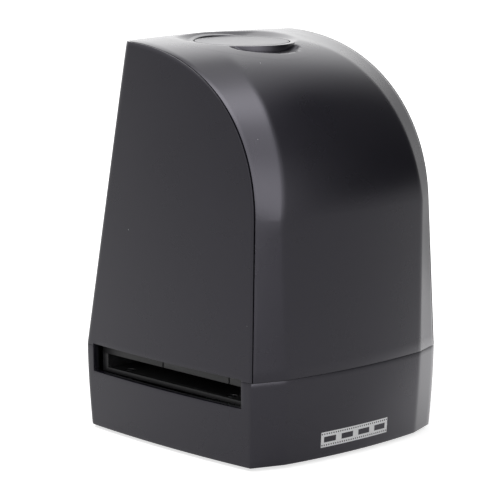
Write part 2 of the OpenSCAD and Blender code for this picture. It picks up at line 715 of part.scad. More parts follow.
// ---- Light baffle, lens holder and lens ----
baffle_low_l = window_l + 4;
baffle_low_w = window_w + 2;
baffle_top_w = 19;
baffle_flange = 4.2;
baffle_flange_t = 1.6;
baffle_top = chassis_top + baffle_h;
baffle_points = corners(baffle_low_l / 2 + 1.6, channel_y, baffle_low_w / 2 - 3);
holder_flange_t = 2;
holder_flange_x = 14;
holder_points = [for (x = [-1, 1]) [x * (holder_flange_x - 2.4), channel_y]];
baffle_screw_l = 3.4;
module light_baffle() {
    t2 = 2 * baffle_wall;
    color(ink) difference() {
        union() {
            funnel(baffle_low_l, baffle_low_w, chassis_top + eps, baffle_top_w, baffle_top_w,
                baffle_top - baffle_flange_t, channel_y);
            slab(-baffle_low_l / 2 - baffle_flange, baffle_low_l / 2 + baffle_flange,
                channel_y - baffle_low_w / 2, channel_y + baffle_low_w / 2, chassis_top,
                chassis_top + baffle_flange_t);
            slab(-holder_flange_x, holder_flange_x, channel_y - baffle_top_w / 2, channel_y + baffle_top_w / 2,
                baffle_top - baffle_flange_t, baffle_top);
            for (p = holder_points) pole([p[0], p[1], baffle_top - 5], cover_boss_r, 4);
        }
        funnel(baffle_low_l - t2, baffle_low_w - t2, chassis_top - eps, baffle_top_w - t2,
            baffle_top_w - t2, baffle_top - baffle_flange_t - 0.4, channel_y);
        pole([0, channel_y, baffle_top - 8], barrel_r + 0.5, 9);
        for (p = baffle_points) pole([p[0], p[1], chassis_top - 1], mini_r + fit_gap, 4);
        for (p = holder_points) pole([p[0], p[1], baffle_top - baffle_screw_l], mini_r, 5);
    }
}
module baffle_screws() {
    color(steel) {
        for (p = baffle_points) pole_at([p[0], p[1], chassis_top + baffle_flange_t + mini_head_h])
            mirror([0, 0, 1]) mini_screw(baffle_screw_l);
        for (p = holder_points) pole_at([p[0], p[1], baffle_top + holder_flange_t + mini_head_h])
            mirror([0, 0, 1]) mini_screw(holder_flange_t + baffle_screw_l - 1);
    }
}
holder_r = barrel_r + 2.2;
holder_top = baffle_top + holder_h;
sensor_board_half = 13;
sensor_points = [for (s = [-1, 1]) [s * (sensor_board_half - 2.6), channel_y + s * (sensor_board_half - 2.6)]];
filter_z = holder_top - 4;
filter_half = 4.5;
module lens_holder() {
    color(ink) difference() {
        union() {
            pole([0, channel_y, baffle_top], holder_r, holder_h);
            slab(-holder_flange_x, holder_flange_x, channel_y - 5, channel_y + 5, baffle_top,
                baffle_top + holder_flange_t);
            slab(-sensor_board_half, sensor_board_half, channel_y - sensor_board_half,
                channel_y + sensor_board_half, holder_top - 2.4, holder_top);
        }
        pole([0, channel_y, baffle_top - 1], barrel_r + 0.05, barrel_out + 1);
        pole([0, channel_y, baffle_top], filter_half - 0.6, holder_h + 1);
        slab(-filter_half - 0.1, filter_half + 0.1, channel_y - filter_half - 0.1,
            channel_y + filter_half + 0.1, filter_z, filter_z + 1.2);
        slab(-sensor_half - 0.5, sensor_half + 0.5, channel_y - sensor_half - 0.5,
            channel_y + sensor_half + 0.5, filter_z + 1.1, holder_top + 1);
        for (p = holder_points) pole([p[0], p[1], baffle_top - 1], mini_r + fit_gap, 4);
        for (p = sensor_points) pole([p[0], p[1], holder_top - 4], mini_r, 5);
    }
}
// The barrel's lower end hangs into the baffle, its upper end is up in the holder
barrel_in = 6;
barrel_out = barrel_l - barrel_in;
barrel_low = baffle_top - barrel_in;
barrel_lip = 1.2;
ring_t = 1.6;
front_lens_t = 3;
middle_lens_t = 2;
stop_t = 0.8;
rear_lens_t = 2.6;
lens_stack = barrel_low + barrel_l - barrel_lip;
rear_lens_z = lens_stack - rear_lens_t;
stop_z = rear_lens_z - stop_t;
middle_lens_z = stop_z - middle_lens_t;
front_lens_z = middle_lens_z - front_lens_t;
ring_z = front_lens_z - ring_t;
module lens_barrel() {
    color("#222226") translate([0, channel_y, barrel_low]) rotate_extrude() difference() {
        translate([lens_r + 0.03, 0]) square([barrel_r - lens_r - 0.03, barrel_l - 0.05]);
        translate([barrel_r - 0.4, 1.2]) square([1, 0.6]);
    }
    color("#222226") translate([0, channel_y, lens_stack + 0.03]) difference() {
        cylinder(r = lens_r + 0.2, h = barrel_lip - 0.08);
        translate([0, 0, -1]) cylinder(r = lens_r - 1, h = 4);
    }
}
// Lens of thickness t, each face dished or domed by its own sagitta within the rim
module lens(z, t, low_sag, high_sag) {
    translate([0, channel_y, z]) rotate_extrude() polygon(concat(
        [for (i = [0:8]) let (x = (lens_r - 0.02) * i / 8) [x, low_sag * (1 - pow(i / 8, 2))]],
        [for (i = [8:-1:0]) let (x = (lens_r - 0.02) * i / 8) [x, t - high_sag * (1 - pow(i / 8, 2))]]));
}
module front_lens() {
    color("#9fb7c9") lens(front_lens_z + 0.02, front_lens_t - 0.04, 0.4, -0.3);
}
module middle_lens() {
    color("#9fb7c9") lens(middle_lens_z + 0.02, middle_lens_t - 0.04, 0.5, 0.4);
}
module rear_lens() {
    color("#9fb7c9") lens(rear_lens_z + 0.02, rear_lens_t - 0.04, 0.3, 0.3);
}
module lens_stop() {
    color(ink) translate([0, channel_y, stop_z + 0.02]) difference() {
        cylinder(r = lens_r - 0.02, h = stop_t - 0.04);
        translate([0, 0, -1]) cylinder(r = 1.6, h = 4);
    }
}
module lens_ring() {
    color(ink) translate([0, channel_y, ring_z]) difference() {
        cylinder(r = lens_r - 0.02, h = ring_t);
        translate([0, 0, -1]) cylinder(r = lens_r - 1.2, h = 4);
        for (a = [0, 180]) rotate(a) translate([lens_r - 1.6, -0.5, -1]) cube([3, 1, 1.7]);
    }
}
module infrared_filter() {
    color("#7fa8b0") slab(-filter_half, filter_half, channel_y - filter_half, channel_y + filter_half,
        filter_z + 0.02, filter_z + 0.7);
}

// ---- Sensor board ----
sensor_half = 5;
sensor_t = 1.3;
sensor_board_z = holder_top + fit_gap;
sensor_board_top = sensor_board_z + board_t;
module sensor_board() {
    color(board_green) difference() {
        slab(-sensor_board_half, sensor_board_half, channel_y - sensor_board_half,
            channel_y + sensor_board_half, sensor_board_z, sensor_board_top);
        for (p = sensor_points) pole([p[0], p[1], sensor_board_z - 1], mini_r + fit_gap, board_t + 2);
    }
}
module image_sensor() {
    color("#30323a") difference() {
        slab(-sensor_half, sensor_half, channel_y - sensor_half, channel_y + sensor_half,
            sensor_board_z - sensor_t, sensor_board_z);
        slab(-2.9, 2.9, channel_y - 2.2, channel_y + 2.2, sensor_board_z - sensor_t - 1,
            sensor_board_z - sensor_t + 0.2);
    }
}
module sensor_screws() {
    color(steel) for (p = sensor_points) pole_at([p[0], p[1], sensor_board_top + mini_head_h])
        mirror([0, 0, 1]) mini_screw(board_t + 2);
}

// ---- Levels of the button, its well and its switch ----
platform_r = button_r + platform_w;
platform_z = top_z - button_drop;
dish_r = platform_r + 9;
dish_h = 2.4;
well_r = button_r + 1.4;
well_wall = 1.1;
well_low = platform_z - button_skirt - 2.6;
step_z = platform_z - button_skirt + 0.8;
hood_boss_r = screw_r + boss_wall;
bracket_ear = well_r + well_wall + mini_r + 1.4;
bracket_angles = [0, 180, 270];
bracket_top = well_low - fit_gap;
bracket_t = 1.8;
bracket_r = 14.5;
ear_w = 6;
bracket_grip = 2.4;
button_floor = platform_z - button_t;
flange_t = 0.75;
flange_top = step_z - fit_gap;
tube_r = stem_r + 1.6;
tube_low = bracket_top - bracket_t - 1.4;
tube_top = button_floor - button_travel - 1;
spring_r = tube_r + 1.4;
spring_wire = 0.4;
switch_h = 2.6;
switch_out = 1.4;
switch_r = 1.6;
switch_in = 1.2;
button_board_drop = 6;
button_board_top = bracket_top - bracket_t - button_board_drop;
button_board_half = 11;
button_board_front = 8;
button_board_back = 8.8;
stem_low = button_board_top + switch_h + switch_out + 0.03;
link_end_y = button_y + button_board_back - 0.4;
power_end_y = channel_y + backlight_d / 2 - 0.8;

// ---- Main board, chips and headers ----
main_board_x = 31;
board_front = board_y + fit_gap;
board_rear = board_front + board_t;
module main_board() {
    color(board_green) difference() {
        slab(-main_board_x, main_board_x, board_front, board_rear, main_board_low,
            main_board_low + main_board_h);
        for (p = main_board_points) along_y([p[0], board_front - 1, p[1]], mini_r + fit_gap, board_t + 2);
    }
}
chip_side = 14;
chip_t = 1.4;
chip_rise = 24;
chip_z = main_board_low + chip_rise;
memory_w = 12;
memory_h = 8;
memory_t = 1.2;
memory_gap = 6;
module image_processor() {
    color(ink) slab(-chip_side / 2, chip_side / 2, board_front - chip_t, board_front, chip_z,
        chip_z + chip_side);
}
module memory_chip() {
    color(ink) slab(-chip_side / 2, memory_w - chip_side / 2, board_front - memory_t, board_front,
        chip_z - memory_gap - memory_h, chip_z - memory_gap);
}
module main_board_screws() {
    color(steel) for (p = main_board_points) translate([p[0], board_rear + mini_head_h, p[1]])
        rotate([90, 0, 0]) mini_screw(board_t + board_screw_l - 0.6);
}
// Headers that the wires plug into: each is [x middle, width, y from, y to, z from, z to]
power_x = 13.2;
power_w = 4;
link_x = -6.5;
link_w = 4;
data_x = -6;
data_w = 4;
ribbon_w = 10;
ribbon_y = channel_y + 9.5;
ribbon_flat = 3.5;
ribbon_slope = 4;
header_t = 2.4;
data_end_y = usb_board_front + 0.4 + header_t;
ribbon_z = sensor_board_top + 1.6;
power_z = main_board_low + 4;
link_z = main_board_low + main_board_h - 5;
data_z = main_board_low + 3;
headers = [
    [power_x, power_w + 1, board_rear, board_rear + header_t, power_z - 1.5, power_z + 1.5],
    [link_x, link_w + 1, board_rear, board_rear + header_t, link_z - 1.5, link_z + 1.5],
    [data_x, data_w + 1, board_rear, board_rear + header_t, data_z - 1.5, data_z + 1.5],
    [0, ribbon_w + 2, board_front - header_t, board_front, ribbon_z - 1.2, ribbon_z + 1.2],
    [0, ribbon_w + 2, ribbon_y - 3, ribbon_y, sensor_board_top, sensor_board_top + 2.2],
    [power_x, power_w + 1, power_end_y - header_t, power_end_y, backlight_top, backlight_top + 2.4],
    [link_x, link_w + 1, link_end_y - header_t, link_end_y, button_board_top, button_board_top + 2.4],
    [data_x, data_w + 1, data_end_y - header_t, data_end_y, usb_board_z + board_t,
        usb_board_z + board_t + 2.4]];
module wire_headers() {
    color("#e8e4d8") for (h = headers) slab(h[0] - h[1] / 2, h[0] + h[1] / 2, h[2], h[3], h[4], h[5]);
}

// ---- Wires and ribbon ----
wire_t = 1;
wire_room = 1.9;
power_back_y = rail_back + 2.7;
power_bow_l = 5;
power_drop = 11;
power_turn = 5.6;
power_land = 1.3;
link_bow = 3.6;
link_climb = 14;
module backlight_wires() {
    color("#c23b2e") strip([[board_rear + header_t, power_z], [board_rear + power_bow_l, power_z],
        [power_back_y - 3, power_z - 2], [power_back_y - 0.6, power_z - 6],
        [power_back_y, power_z - power_drop], [power_back_y, backlight_top + power_turn],
        [power_back_y - 1, backlight_top + power_turn - 3], [power_back_y - 4, backlight_top + power_land],
        [power_end_y, backlight_top + power_land]], wire_t, power_x, power_w);
}
module sensor_ribbon() {
    color("#e9e6da") strip([[ribbon_y, sensor_board_top + 1.1],
        [ribbon_y + ribbon_flat, sensor_board_top + 1.1],
        [ribbon_y + ribbon_flat + ribbon_slope, ribbon_z - 0.4], [board_front - header_t, ribbon_z]], 0.3, 0,
        ribbon_w);
}
module button_wires() {
    color("#3a6ea5") strip([[board_rear + header_t, link_z], [board_rear + 3.2, link_z],
        [board_rear + link_bow, link_z + 4], [board_rear + 1, link_z + link_climb],
        [link_end_y + 3.4, button_board_top], [link_end_y + 1.4, button_board_top + 1.2],
        [link_end_y, button_board_top + 1.2]], wire_t, link_x, link_w);
}
module usb_wires() {
    color("#ded9cc") strip([[board_rear + header_t, data_z], [board_rear + header_t + 1.6, data_z],
        [board_rear + header_t + 2.8, data_z - 1.2], [data_end_y + 2.4, usb_board_z + board_t + 1.6],
        [data_end_y + 1.4, usb_board_z + board_t + 1.2], [data_end_y, usb_board_z + board_t + 1.2]],
        wire_t, data_x, data_w);
}

// ---- USB board and socket ----
socket_y = back_at(usb_board_z + board_t + socket_h / 2) + back_crown - 0.5;
socket_z = usb_board_z + board_t;
module usb_board() {
    color(board_green) difference() {
        slab(-usb_board_x, usb_board_x, usb_board_front, usb_board_back, usb_board_z, usb_board_z + board_t);
        for (p = usb_points) pole([p[0], p[1], usb_board_z - 1], mini_r + fit_gap, board_t + 2);
    }
}
module usb_board_screws() {
    color(steel) for (p = usb_points) pole_at([p[0], p[1], socket_z + mini_head_h])
        mirror([0, 0, 1]) mini_screw(board_t + 2);
}
module usb_socket() {
    shell_t = 0.4;
    color(steel) difference() {
        slab(-socket_w / 2, socket_w / 2, socket_y - socket_l, socket_y, socket_z, socket_z + socket_h);
        slab(-socket_w / 2 + shell_t, socket_w / 2 - shell_t, socket_y - socket_l + 2, socket_y + 1,
            socket_z + shell_t, socket_z + socket_h - shell_t);
    }
    color(ink) slab(-2.4, 2.4, socket_y - socket_l + 1.9, socket_y - 1.2, socket_z + socket_h / 2 - 0.4,
        socket_z + socket_h / 2 + 0.4);
}

// ---- Rear housing ----
tab_t = 2.4;
tab_side = 10;
tab_reach = 4;
tab_drop = 17;
tab_ahead = 16;
tab_z = top_z - tab_drop;
tab_y = back_edge_y - tab_ahead;
tab_x = half_at(tab_z) - tab_side + 0.5;
front_tab_rise = 32;
front_tab_in = 9;
front_tab_z = seam_z + front_tab_rise;
front_tab_y = corner_y + front_tab_in;
front_tab_x = half_at(front_tab_z) - tab_side;
module rear_housing() {
    color(charcoal) difference() {
        union() {
            difference() {
                tower(0, 0, 0);
                tower(wall, tower_reach, eps);
                above_top();
            }
            intersection() {
                tower(wall / 2, 0, 0);
                rear_inside();
            }
        }
        // Room for the hood's edge behind the lip, and for the button's well
        intersection() {
            tower(lip, tower_reach, eps);
            beyond_profile(wall + panel_gap);
        }
        pole([0, button_y, well_low - 1], well_r + well_wall + panel_gap, upper_h);
        // Notches over the slots
        mirrored_slab(half_w / 2, body_w, channel_y - slot_w / 2, channel_y + slot_w / 2, seam_z - 1,
            slot_top);
        // Socket mouth
        slab(-socket_w / 2 - 0.3, socket_w / 2 + 0.3, back_y - wall - 3, body_d, socket_z - 0.3,
            socket_z + socket_h + 0.3);
        for (p = tower_points) pole([p[0], p[1], chassis_top - 1], mini_r, tower_boss_h - 1);
        for (x = [-1, 1]) {
            pole([x * tab_x, tab_y, tab_z - 1], screw_r + fit_gap, tab_t + 2);
            along_y([x * front_tab_x, front_tab_y - 1, front_tab_z], screw_r + fit_gap, tab_t + 2);
        }
    }
}
// Bosses for the chassis and tabs for the hood
module rear_inside() {
    for (p = tower_points) {
        pole([p[0], p[1], chassis_top + fit_gap], tower_boss_r, tower_boss_h);
        slab(min(p[0], sign(p[0]) * body_w), max(p[0], sign(p[0]) * body_w), p[1] - 1, p[1] + 1,
            chassis_top + fit_gap, chassis_top + fit_gap + tower_boss_h);
    }
    mirrored_slab(tab_x - tab_reach, body_w, tab_y - tab_side / 2, tab_y + tab_side / 2, tab_z, tab_z + tab_t);
    mirrored_slab(front_tab_x - tab_reach, body_w, front_tab_y, front_tab_y + tab_t,
        front_tab_z - tab_side / 2, front_tab_z + tab_side / 2);
}
// Everything in front of and above the corner edge's profile, moved in by d
module beyond_profile(d) {
    inner = [for (s = stations) s[0] - d * s[1]];
    far = body_d;
    rotate([90, 0, 90]) translate([0, 0, -body_w]) linear_extrude(2 * body_w)
        polygon(concat([[-far, seam_z - 1], [inner[0][0], seam_z - 1]], inner,
            [[far, inner[len(inner) - 1][1]], [far, top_z + far], [-far, top_z + far]]));
}

// ---- Front hood ----
module front_hood() {
    color(charcoal) difference() {
        union() {
            intersection() {
                skin(-wall, 0);
                tower(hood_edge, tower_reach, eps);
            }
            pole([0, button_y, well_low], well_r + well_wall, platform_z - well_low - 1);
            pole([0, button_y, platform_z - 3], platform_r, 3);
            intersection() {
                hood_inside();
                skin(-4 * well_r, -wall / 2);
                tower(hood_edge, tower_reach, eps);
            }
        }
        // Below the seam
        slab(-body_w, body_w, -body_d, body_d, 0, seam_z + fit_gap);
        // Dish around the platform, and the scoop in front of it
        pole([0, button_y, platform_z], platform_r + 0.4, 9);
        translate([0, button_y, platform_z]) cylinder(r1 = platform_r, r2 = dish_r, h = dish_h);
        scoop_ring(scoop_r);
        // Well for the button
        pole([0, button_y, step_z - 9], well_r, 9);
        pole([0, button_y, step_z - 1], button_r + button_gap, 12);
        for (a = bracket_angles) pole(bracket_point(a, well_low - 1), mini_r, bracket_grip + 1.2);
        for (x = [-1, 1]) {
            pole([x * tab_x, tab_y, tab_z], screw_r, 9);
            along_y([x * front_tab_x, front_tab_y - 8, front_tab_z], screw_r, 9);
        }
    }
}
function bracket_point(a, z) = [bracket_ear * cos(a), button_y + bracket_ear * sin(a), z];
// Bosses that hang from the hood's inner side
module hood_inside() {
    for (a = bracket_angles) pole(bracket_point(a, well_low), cover_boss_r, upper_h);
    scoop_ring(scoop_r + wall / 2);
    for (x = [-1, 1]) {
        pole([x * tab_x, tab_y, tab_z + tab_t + fit_gap], hood_boss_r, upper_h);
        along_y([x * front_tab_x, -body_d, front_tab_z], hood_boss_r, body_d + front_tab_y - fit_gap);
    }
}
// Ring of round section along the scoop
module scoop_ring(r) {
    ring_r = platform_r + 0.85 * scoop_r;
    translate([0, button_y, platform_z - scoop_drop + ring_r * sin(scoop_tilt)]) rotate([scoop_tilt, 0, 0])
        rotate_extrude() translate([ring_r, 0]) circle(r = r);
}
hood_screw_l = 7;
module hood_screws() {
    color(steel) for (x = [-1, 1]) {
        pole_at([x * tab_x, tab_y, tab_z - head_h]) large_screw(hood_screw_l);
        translate([x * front_tab_x, front_tab_y + tab_t + head_h, front_tab_z]) rotate([90, 0, 0])
            large_screw(hood_screw_l);
    }
}

// ---- Button, spring, bracket and switch ----
module scan_button() {
    color("#45454a") {
        difference() {
            union() {
                pole([0, button_y, flange_top - flange_t], button_r,
                    platform_z - flange_top + flange_t);
                pole([0, button_y, flange_top - flange_t], well_r - 0.3, flange_t);
            }
            pole([0, button_y, flange_top - flange_t - 1], button_r - 1.4,
                button_floor - flange_top + flange_t + 1);
        }
        pole([0, button_y, stem_low], stem_r, button_floor - stem_low + 0.1);
    }
}
module button_spring() {
    color(steel) translate([0, button_y, bracket_top + spring_wire])
        coil(spring_r, spring_wire, 4, button_floor - bracket_top - 2 * spring_wire - 0.05);
}
button_board_points = [for (x = [-1, 1]) [x * (button_board_half - 2.4), button_y]];
module button_bracket() {
    color("#2b2b2f") difference() {
        union() {
            pole([0, button_y, bracket_top - bracket_t], bracket_r, bracket_t);
            for (a = bracket_angles) {
                pole(bracket_point(a, bracket_top - bracket_t), ear_w / 2, bracket_t);
                translate([0, button_y, bracket_top - bracket_t]) rotate(a) translate([0, -ear_w / 2, 0])
                    cube([bracket_ear, ear_w, bracket_t]);
            }
            pole([0, button_y, tube_low], tube_r, tube_top - tube_low);
            for (p = button_board_points) pole([p[0], p[1], button_board_top], cover_boss_r,
                button_board_drop + 0.5);
        }
        pole([0, button_y, tube_low - 1], stem_r + running_gap, tube_top - tube_low + 2);
        for (a = bracket_angles) pole(bracket_point(a, bracket_top - bracket_t - 1), mini_r + fit_gap,
            bracket_t + 2);
        for (p = button_board_points) pole([p[0], p[1], button_board_top - 1], mini_r, 6);
    }
}
module bracket_screws() {
    color(steel) for (a = bracket_angles)
        pole_at(bracket_point(a, bracket_top - bracket_t - mini_head_h)) mini_screw(bracket_t + bracket_grip);
}
module button_board() {
    color(board_green) difference() {
        slab(-button_board_half, button_board_half, button_y - button_board_front,
            button_y + button_board_back, button_board_top - board_t, button_board_top);
        for (p = button_board_points) pole([p[0], p[1], button_board_top - board_t - 1], mini_r + fit_gap,
            board_t + 2);
    }
}
module switch_body() {
    color(ink) difference() {
        slab(-3, 3, button_y - 3, button_y + 3, button_board_top, button_board_top + switch_h);
        pole([0, button_y, button_board_top + 0.6], switch_r + running_gap, switch_h);
    }
}
module switch_plunger() {
    color("#d8d8d4") pole([0, button_y, button_board_top + switch_h - switch_in], switch_r,
        switch_out + switch_in);
}
button_board_grip = 4;
module button_board_screws() {
    color(steel) for (p = button_board_points)
        pole_at([p[0], p[1], button_board_top - board_t - mini_head_h]) mini_screw(board_t + button_board_grip);
}

base_housing();
bottom_cover();
rubber_feet();
cover_screws();
base_screws();
lower_film_guide();
guide_screws();
detent_plunger();
detent_spring();
detent_cap();
backlight_board();
backlight_leds();
backlight_screws();
reflector_box();
diffuser_plate();
upper_film_guide();
upper_guide_screws();
chassis();
chassis_screws();
light_baffle();
baffle_screws();
lens_holder();
lens_barrel();
front_lens();
middle_lens();
rear_lens();
lens_stop();
lens_ring();
infrared_filter();
sensor_board();
image_sensor();
sensor_screws();
main_board();
image_processor();
memory_chip();
main_board_screws();
wire_headers();
usb_board();
usb_socket();
usb_board_screws();
sensor_ribbon();
backlight_wires();
button_wires();
usb_wires();
rear_housing();
front_hood();
hood_screws();
scan_button();
button_spring();
button_bracket();
bracket_screws();
button_board();
switch_body();
switch_plunger();
button_board_screws();
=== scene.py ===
"""Film negative scanner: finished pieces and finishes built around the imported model.

Sizes inside the classes are in millimetres. Meshes are made in metres. CLOSE is the slack of
tests on a place, LOOSE the distance under which points count as one, and LEVEL the least
upward part of a level face's normal.
"""
import json
import logging
import math
from dataclasses import dataclass, field
from enum import Enum
from typing import Callable, Sequence

import bmesh
import bpy
import numpy as np
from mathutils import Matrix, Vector


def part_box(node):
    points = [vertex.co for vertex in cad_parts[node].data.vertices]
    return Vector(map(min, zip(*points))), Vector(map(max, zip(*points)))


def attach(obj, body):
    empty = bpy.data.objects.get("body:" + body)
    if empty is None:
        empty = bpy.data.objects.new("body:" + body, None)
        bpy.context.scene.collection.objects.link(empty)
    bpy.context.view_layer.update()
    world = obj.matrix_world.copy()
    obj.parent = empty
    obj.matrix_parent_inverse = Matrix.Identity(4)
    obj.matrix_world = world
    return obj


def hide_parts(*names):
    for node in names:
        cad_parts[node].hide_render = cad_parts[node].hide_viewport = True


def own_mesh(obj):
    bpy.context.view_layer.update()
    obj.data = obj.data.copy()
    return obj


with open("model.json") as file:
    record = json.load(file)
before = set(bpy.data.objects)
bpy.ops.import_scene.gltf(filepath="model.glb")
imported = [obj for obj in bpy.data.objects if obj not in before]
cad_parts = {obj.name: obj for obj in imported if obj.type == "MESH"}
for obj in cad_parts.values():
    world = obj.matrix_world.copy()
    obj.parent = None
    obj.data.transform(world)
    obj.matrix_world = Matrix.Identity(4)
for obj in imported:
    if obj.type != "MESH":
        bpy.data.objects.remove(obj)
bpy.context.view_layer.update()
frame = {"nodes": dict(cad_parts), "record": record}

MM = 0.001
CLOSE = 0.05
LOOSE = 0.002
LEVEL = 0.9
LOG = logging.getLogger("film_scanner")
Array = np.ndarray
Numbers = Array | float
Object = bpy.types.Object
Socket = bpy.types.NodeSocket
Place = Callable[[Array, Array], Array]
Colour = tuple[float, float, float]
Triple = tuple[float, float, float]
Pair = tuple[float, float]
WHITE = (1.0, 1.0, 1.0, 1.0)


class Body(Enum):
    """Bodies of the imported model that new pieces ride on."""

    HOUSING = "housing"
    BUTTON = "button"


# Form of the body
def smooth_min(a: Array, b: Array, width: Numbers) -> Array:
    """Returns the lower of two heights, rounded where they differ by less than width."""
    share = np.clip(0.5 + 0.5 * (b - a) / width, 0.0, 1.0)
    return b + (a - b) * share - width * share * (1.0 - share)


def unit(rows: Array) -> Array:
    """Returns each row at length 1."""
    return rows / np.linalg.norm(rows, axis=1)[:, None]


def spread(front_shares: Sequence[float], facet_shares: Sequence[float]) -> tuple[Array, Array]:
    """Lines up the columns from the middle of the front to the side.

    Args:
        front_shares: Shares of the front's half width, from 0 to 1.
        facet_shares: Shares of the facet's width, up to 1.

    Returns:
        Each column's share of the front and its share of the facet.
    """
    on_front = np.concatenate([front_shares, np.ones(len(facet_shares))])
    return on_front, np.concatenate([np.zeros(len(front_shares)), facet_shares])


def mirrored(right: Array) -> Array:
    """Returns rising positions from -last to +last, given those from 0 up."""
    return np.concatenate([-right[:0:-1], right])


@dataclass(frozen=True)
class BodyForm:
    """Outer form of the tower and the base, from the side profile and the plan.

    A station v runs along the sharp corner edge: it is -1 at the seam, 0 where the arch starts
    and 1 at the arch's end.
    """

    foot_stand: float = 1.0
    seam_z: float = 29.7
    top_z: float = 135.1
    half_w: float = 43.0
    corner_y: float = -40.75
    soft_y: float = -44.95
    back_y: float = 44.25
    back_edge_y: float = 26.9737
    back_crown: float = 3.0
    back_corner_r: float = 3.0
    side_crown: float = 1.9
    front_crown: float = 2.3
    side_lean: float = 2.4
    back_lean: float = 9.3
    wall: float = 2.2
    lip: float = 0.5
    panel_gap: float = 0.1
    slot_front: float = -36.3
    slot_back: float = 38.9
    slot_from_x: float = 38.0
    arch_start_h: float = 51.8
    arch_start_in: float = 1.3
    arch_low_pull: float = 31.2
    arch_high_pull: float = 40.9
    top_tilt: float = 0.5
    top_crown: float = 0.5
    facet_w: float = 11.4
    facet_arch_w: float = 8.0
    facet_spread: float = 9.5
    facet_spread_top: float = 44.0
    facet_spread_power: float = 8.0
    facet_d: float = 4.2
    facet_arch_d: float = 4.6
    facet_fade_power: float = 2.6
    least_soft: float = 1.5
    blend_at: Triple = (-1.0, 0.0, 0.5)
    blend: Triple = (0.12, 0.3, 0.15)
    edge_steps: int = 1600

    @property
    def hood_inset(self) -> float:
        """Distance of the hood's edges from the outer surface of the sides and back."""
        return self.lip + self.panel_gap

    @property
    def top_slope(self) -> float:
        """Rise of the top towards the back, as a ratio."""
        return math.tan(math.radians(self.top_tilt))

    @property
    def facet_angle(self) -> float:
        """Angle of the facets to the front at the seam, in radians."""
        return math.atan2(self.facet_d, self.facet_w)

    @property
    def side_radius(self) -> float:
        """Radius of the bulge of the sides in plan."""
        return (self.back_y - self.corner_y) ** 2 / (8 * self.side_crown)

    @property
    def front_radius(self) -> float:
        """Radius of the bulge of the front in plan."""
        return (self.half_w - self.facet_w) ** 2 / (2 * self.front_crown)

    def half_at(self, z: Numbers) -> Numbers:
        """Returns half the width between the corner edges at height z."""
        return self.half_w - (z - self.seam_z) * math.tan(math.radians(self.side_lean))

    def back_at(self, z: Numbers) -> Numbers:
        """Returns the place of the back's corner line at height z."""
        return self.back_y - (z - self.seam_z) * math.tan(math.radians(self.back_lean))

    def station(self, v: Array) -> tuple[Array, Array]:
        """Follows the sharp corner edge from the seam to the back of the top.

        Args:
            v: Stations.

        Returns:
            The points and the outward directions, each as rows of (y, z).
        """
        rise = np.array([self.arch_start_in, self.arch_start_h])
        start = np.array([self.corner_y, self.seam_z]) + rise
        end = np.array([self.back_edge_y, self.top_z])
        tilt = math.radians(self.top_tilt)
        low = start + self.arch_low_pull * rise / np.linalg.norm(rise)
        high = end - self.arch_high_pull * np.array([math.cos(tilt), math.sin(tilt)])
        u = np.clip(v, 0.0, 1.0)[:, None]
        below = np.clip(-v, 0.0, 1.0)[:, None]
        arch = (1 - u) ** 3 * start + 3 * (1 - u) ** 2 * u * low + 3 * (1 - u) * u * u * high + u ** 3 * end
        slopes = 3 * (1 - u) ** 2 * (low - start) + 6 * (1 - u) * u * (high - low) + 3 * u * u * (end - high)
        outward = unit(np.stack([-slopes[:, 1], slopes[:, 0]], axis=1))
        return arch - below * rise, unit(outward * (1 - below) + np.array([-1.0, 0.0]) * below)

    def facet_width(self, v: Numbers) -> Numbers:
        """Returns the width of a corner facet at each station."""
        u = np.clip(v, 0.0, 1.0)
        return (np.interp(v, (-1.0, 0.0), (self.facet_w, self.facet_arch_w))
                + self.facet_spread * u + self.facet_spread_top * u ** self.facet_spread_power)

    def facet_depth(self, v: Numbers) -> Numbers:
        """Returns the depth of a corner facet at each station."""
        fade = np.clip(v, 0.0, 1.0) ** self.facet_fade_power
        return (np.interp(v, (-1.0, 0.0), (self.facet_d, self.facet_arch_d))
                + (self.top_crown - self.facet_arch_d) * fade)

    def soft_half(self, v: Numbers, z: Numbers) -> Numbers:
        """Returns half the width of the front between the facets."""
        return np.maximum(self.least_soft, self.half_at(z) - self.facet_width(v))

    def skin_rise(self, v: Numbers, z: Numbers, x: Numbers) -> Array:
        """Returns the height of the skin over the plane of the corner edges.

        Args:
            v: Station.
            z: Height of the corner edge there.
            x: Place across the width.

        Returns:
            The rise along the outward direction.
        """
        soft = self.soft_half(v, z)
        depth = self.facet_depth(v)
        across = np.abs(x)
        bowed = (soft ** 2 - np.minimum(across, soft) ** 2) / 2 - soft * np.maximum(across - soft, 0.0)
        half = self.half_at(z)
        facet = depth * (half - across) / (half - soft)
        return smooth_min(depth + bowed / self.front_radius, facet, np.interp(v, self.blend_at, self.blend))

    def edge_table(self) -> tuple[Array, Array, Array]:
        """Tabulates the corner edge.

        Returns:
            Finely spaced stations, their points and the running length up to each.
        """
        v = np.linspace(-1.0, 1.0, self.edge_steps + 1)
        points, _ = self.station(v)
        steps = np.linalg.norm(np.diff(points, axis=0), axis=1)
        return v, points, np.concatenate([[0.0], np.cumsum(steps)])

    def side_bulge(self, y: Array, z: Array, end: Numbers) -> Array:
        """Returns how far a side wall stands out at y, between the corner edge and its end."""
        _, points, _ = self.edge_table()
        return (y - np.interp(z, points[:, 1], points[:, 0])) * (end - y) / (2 * self.side_radius)

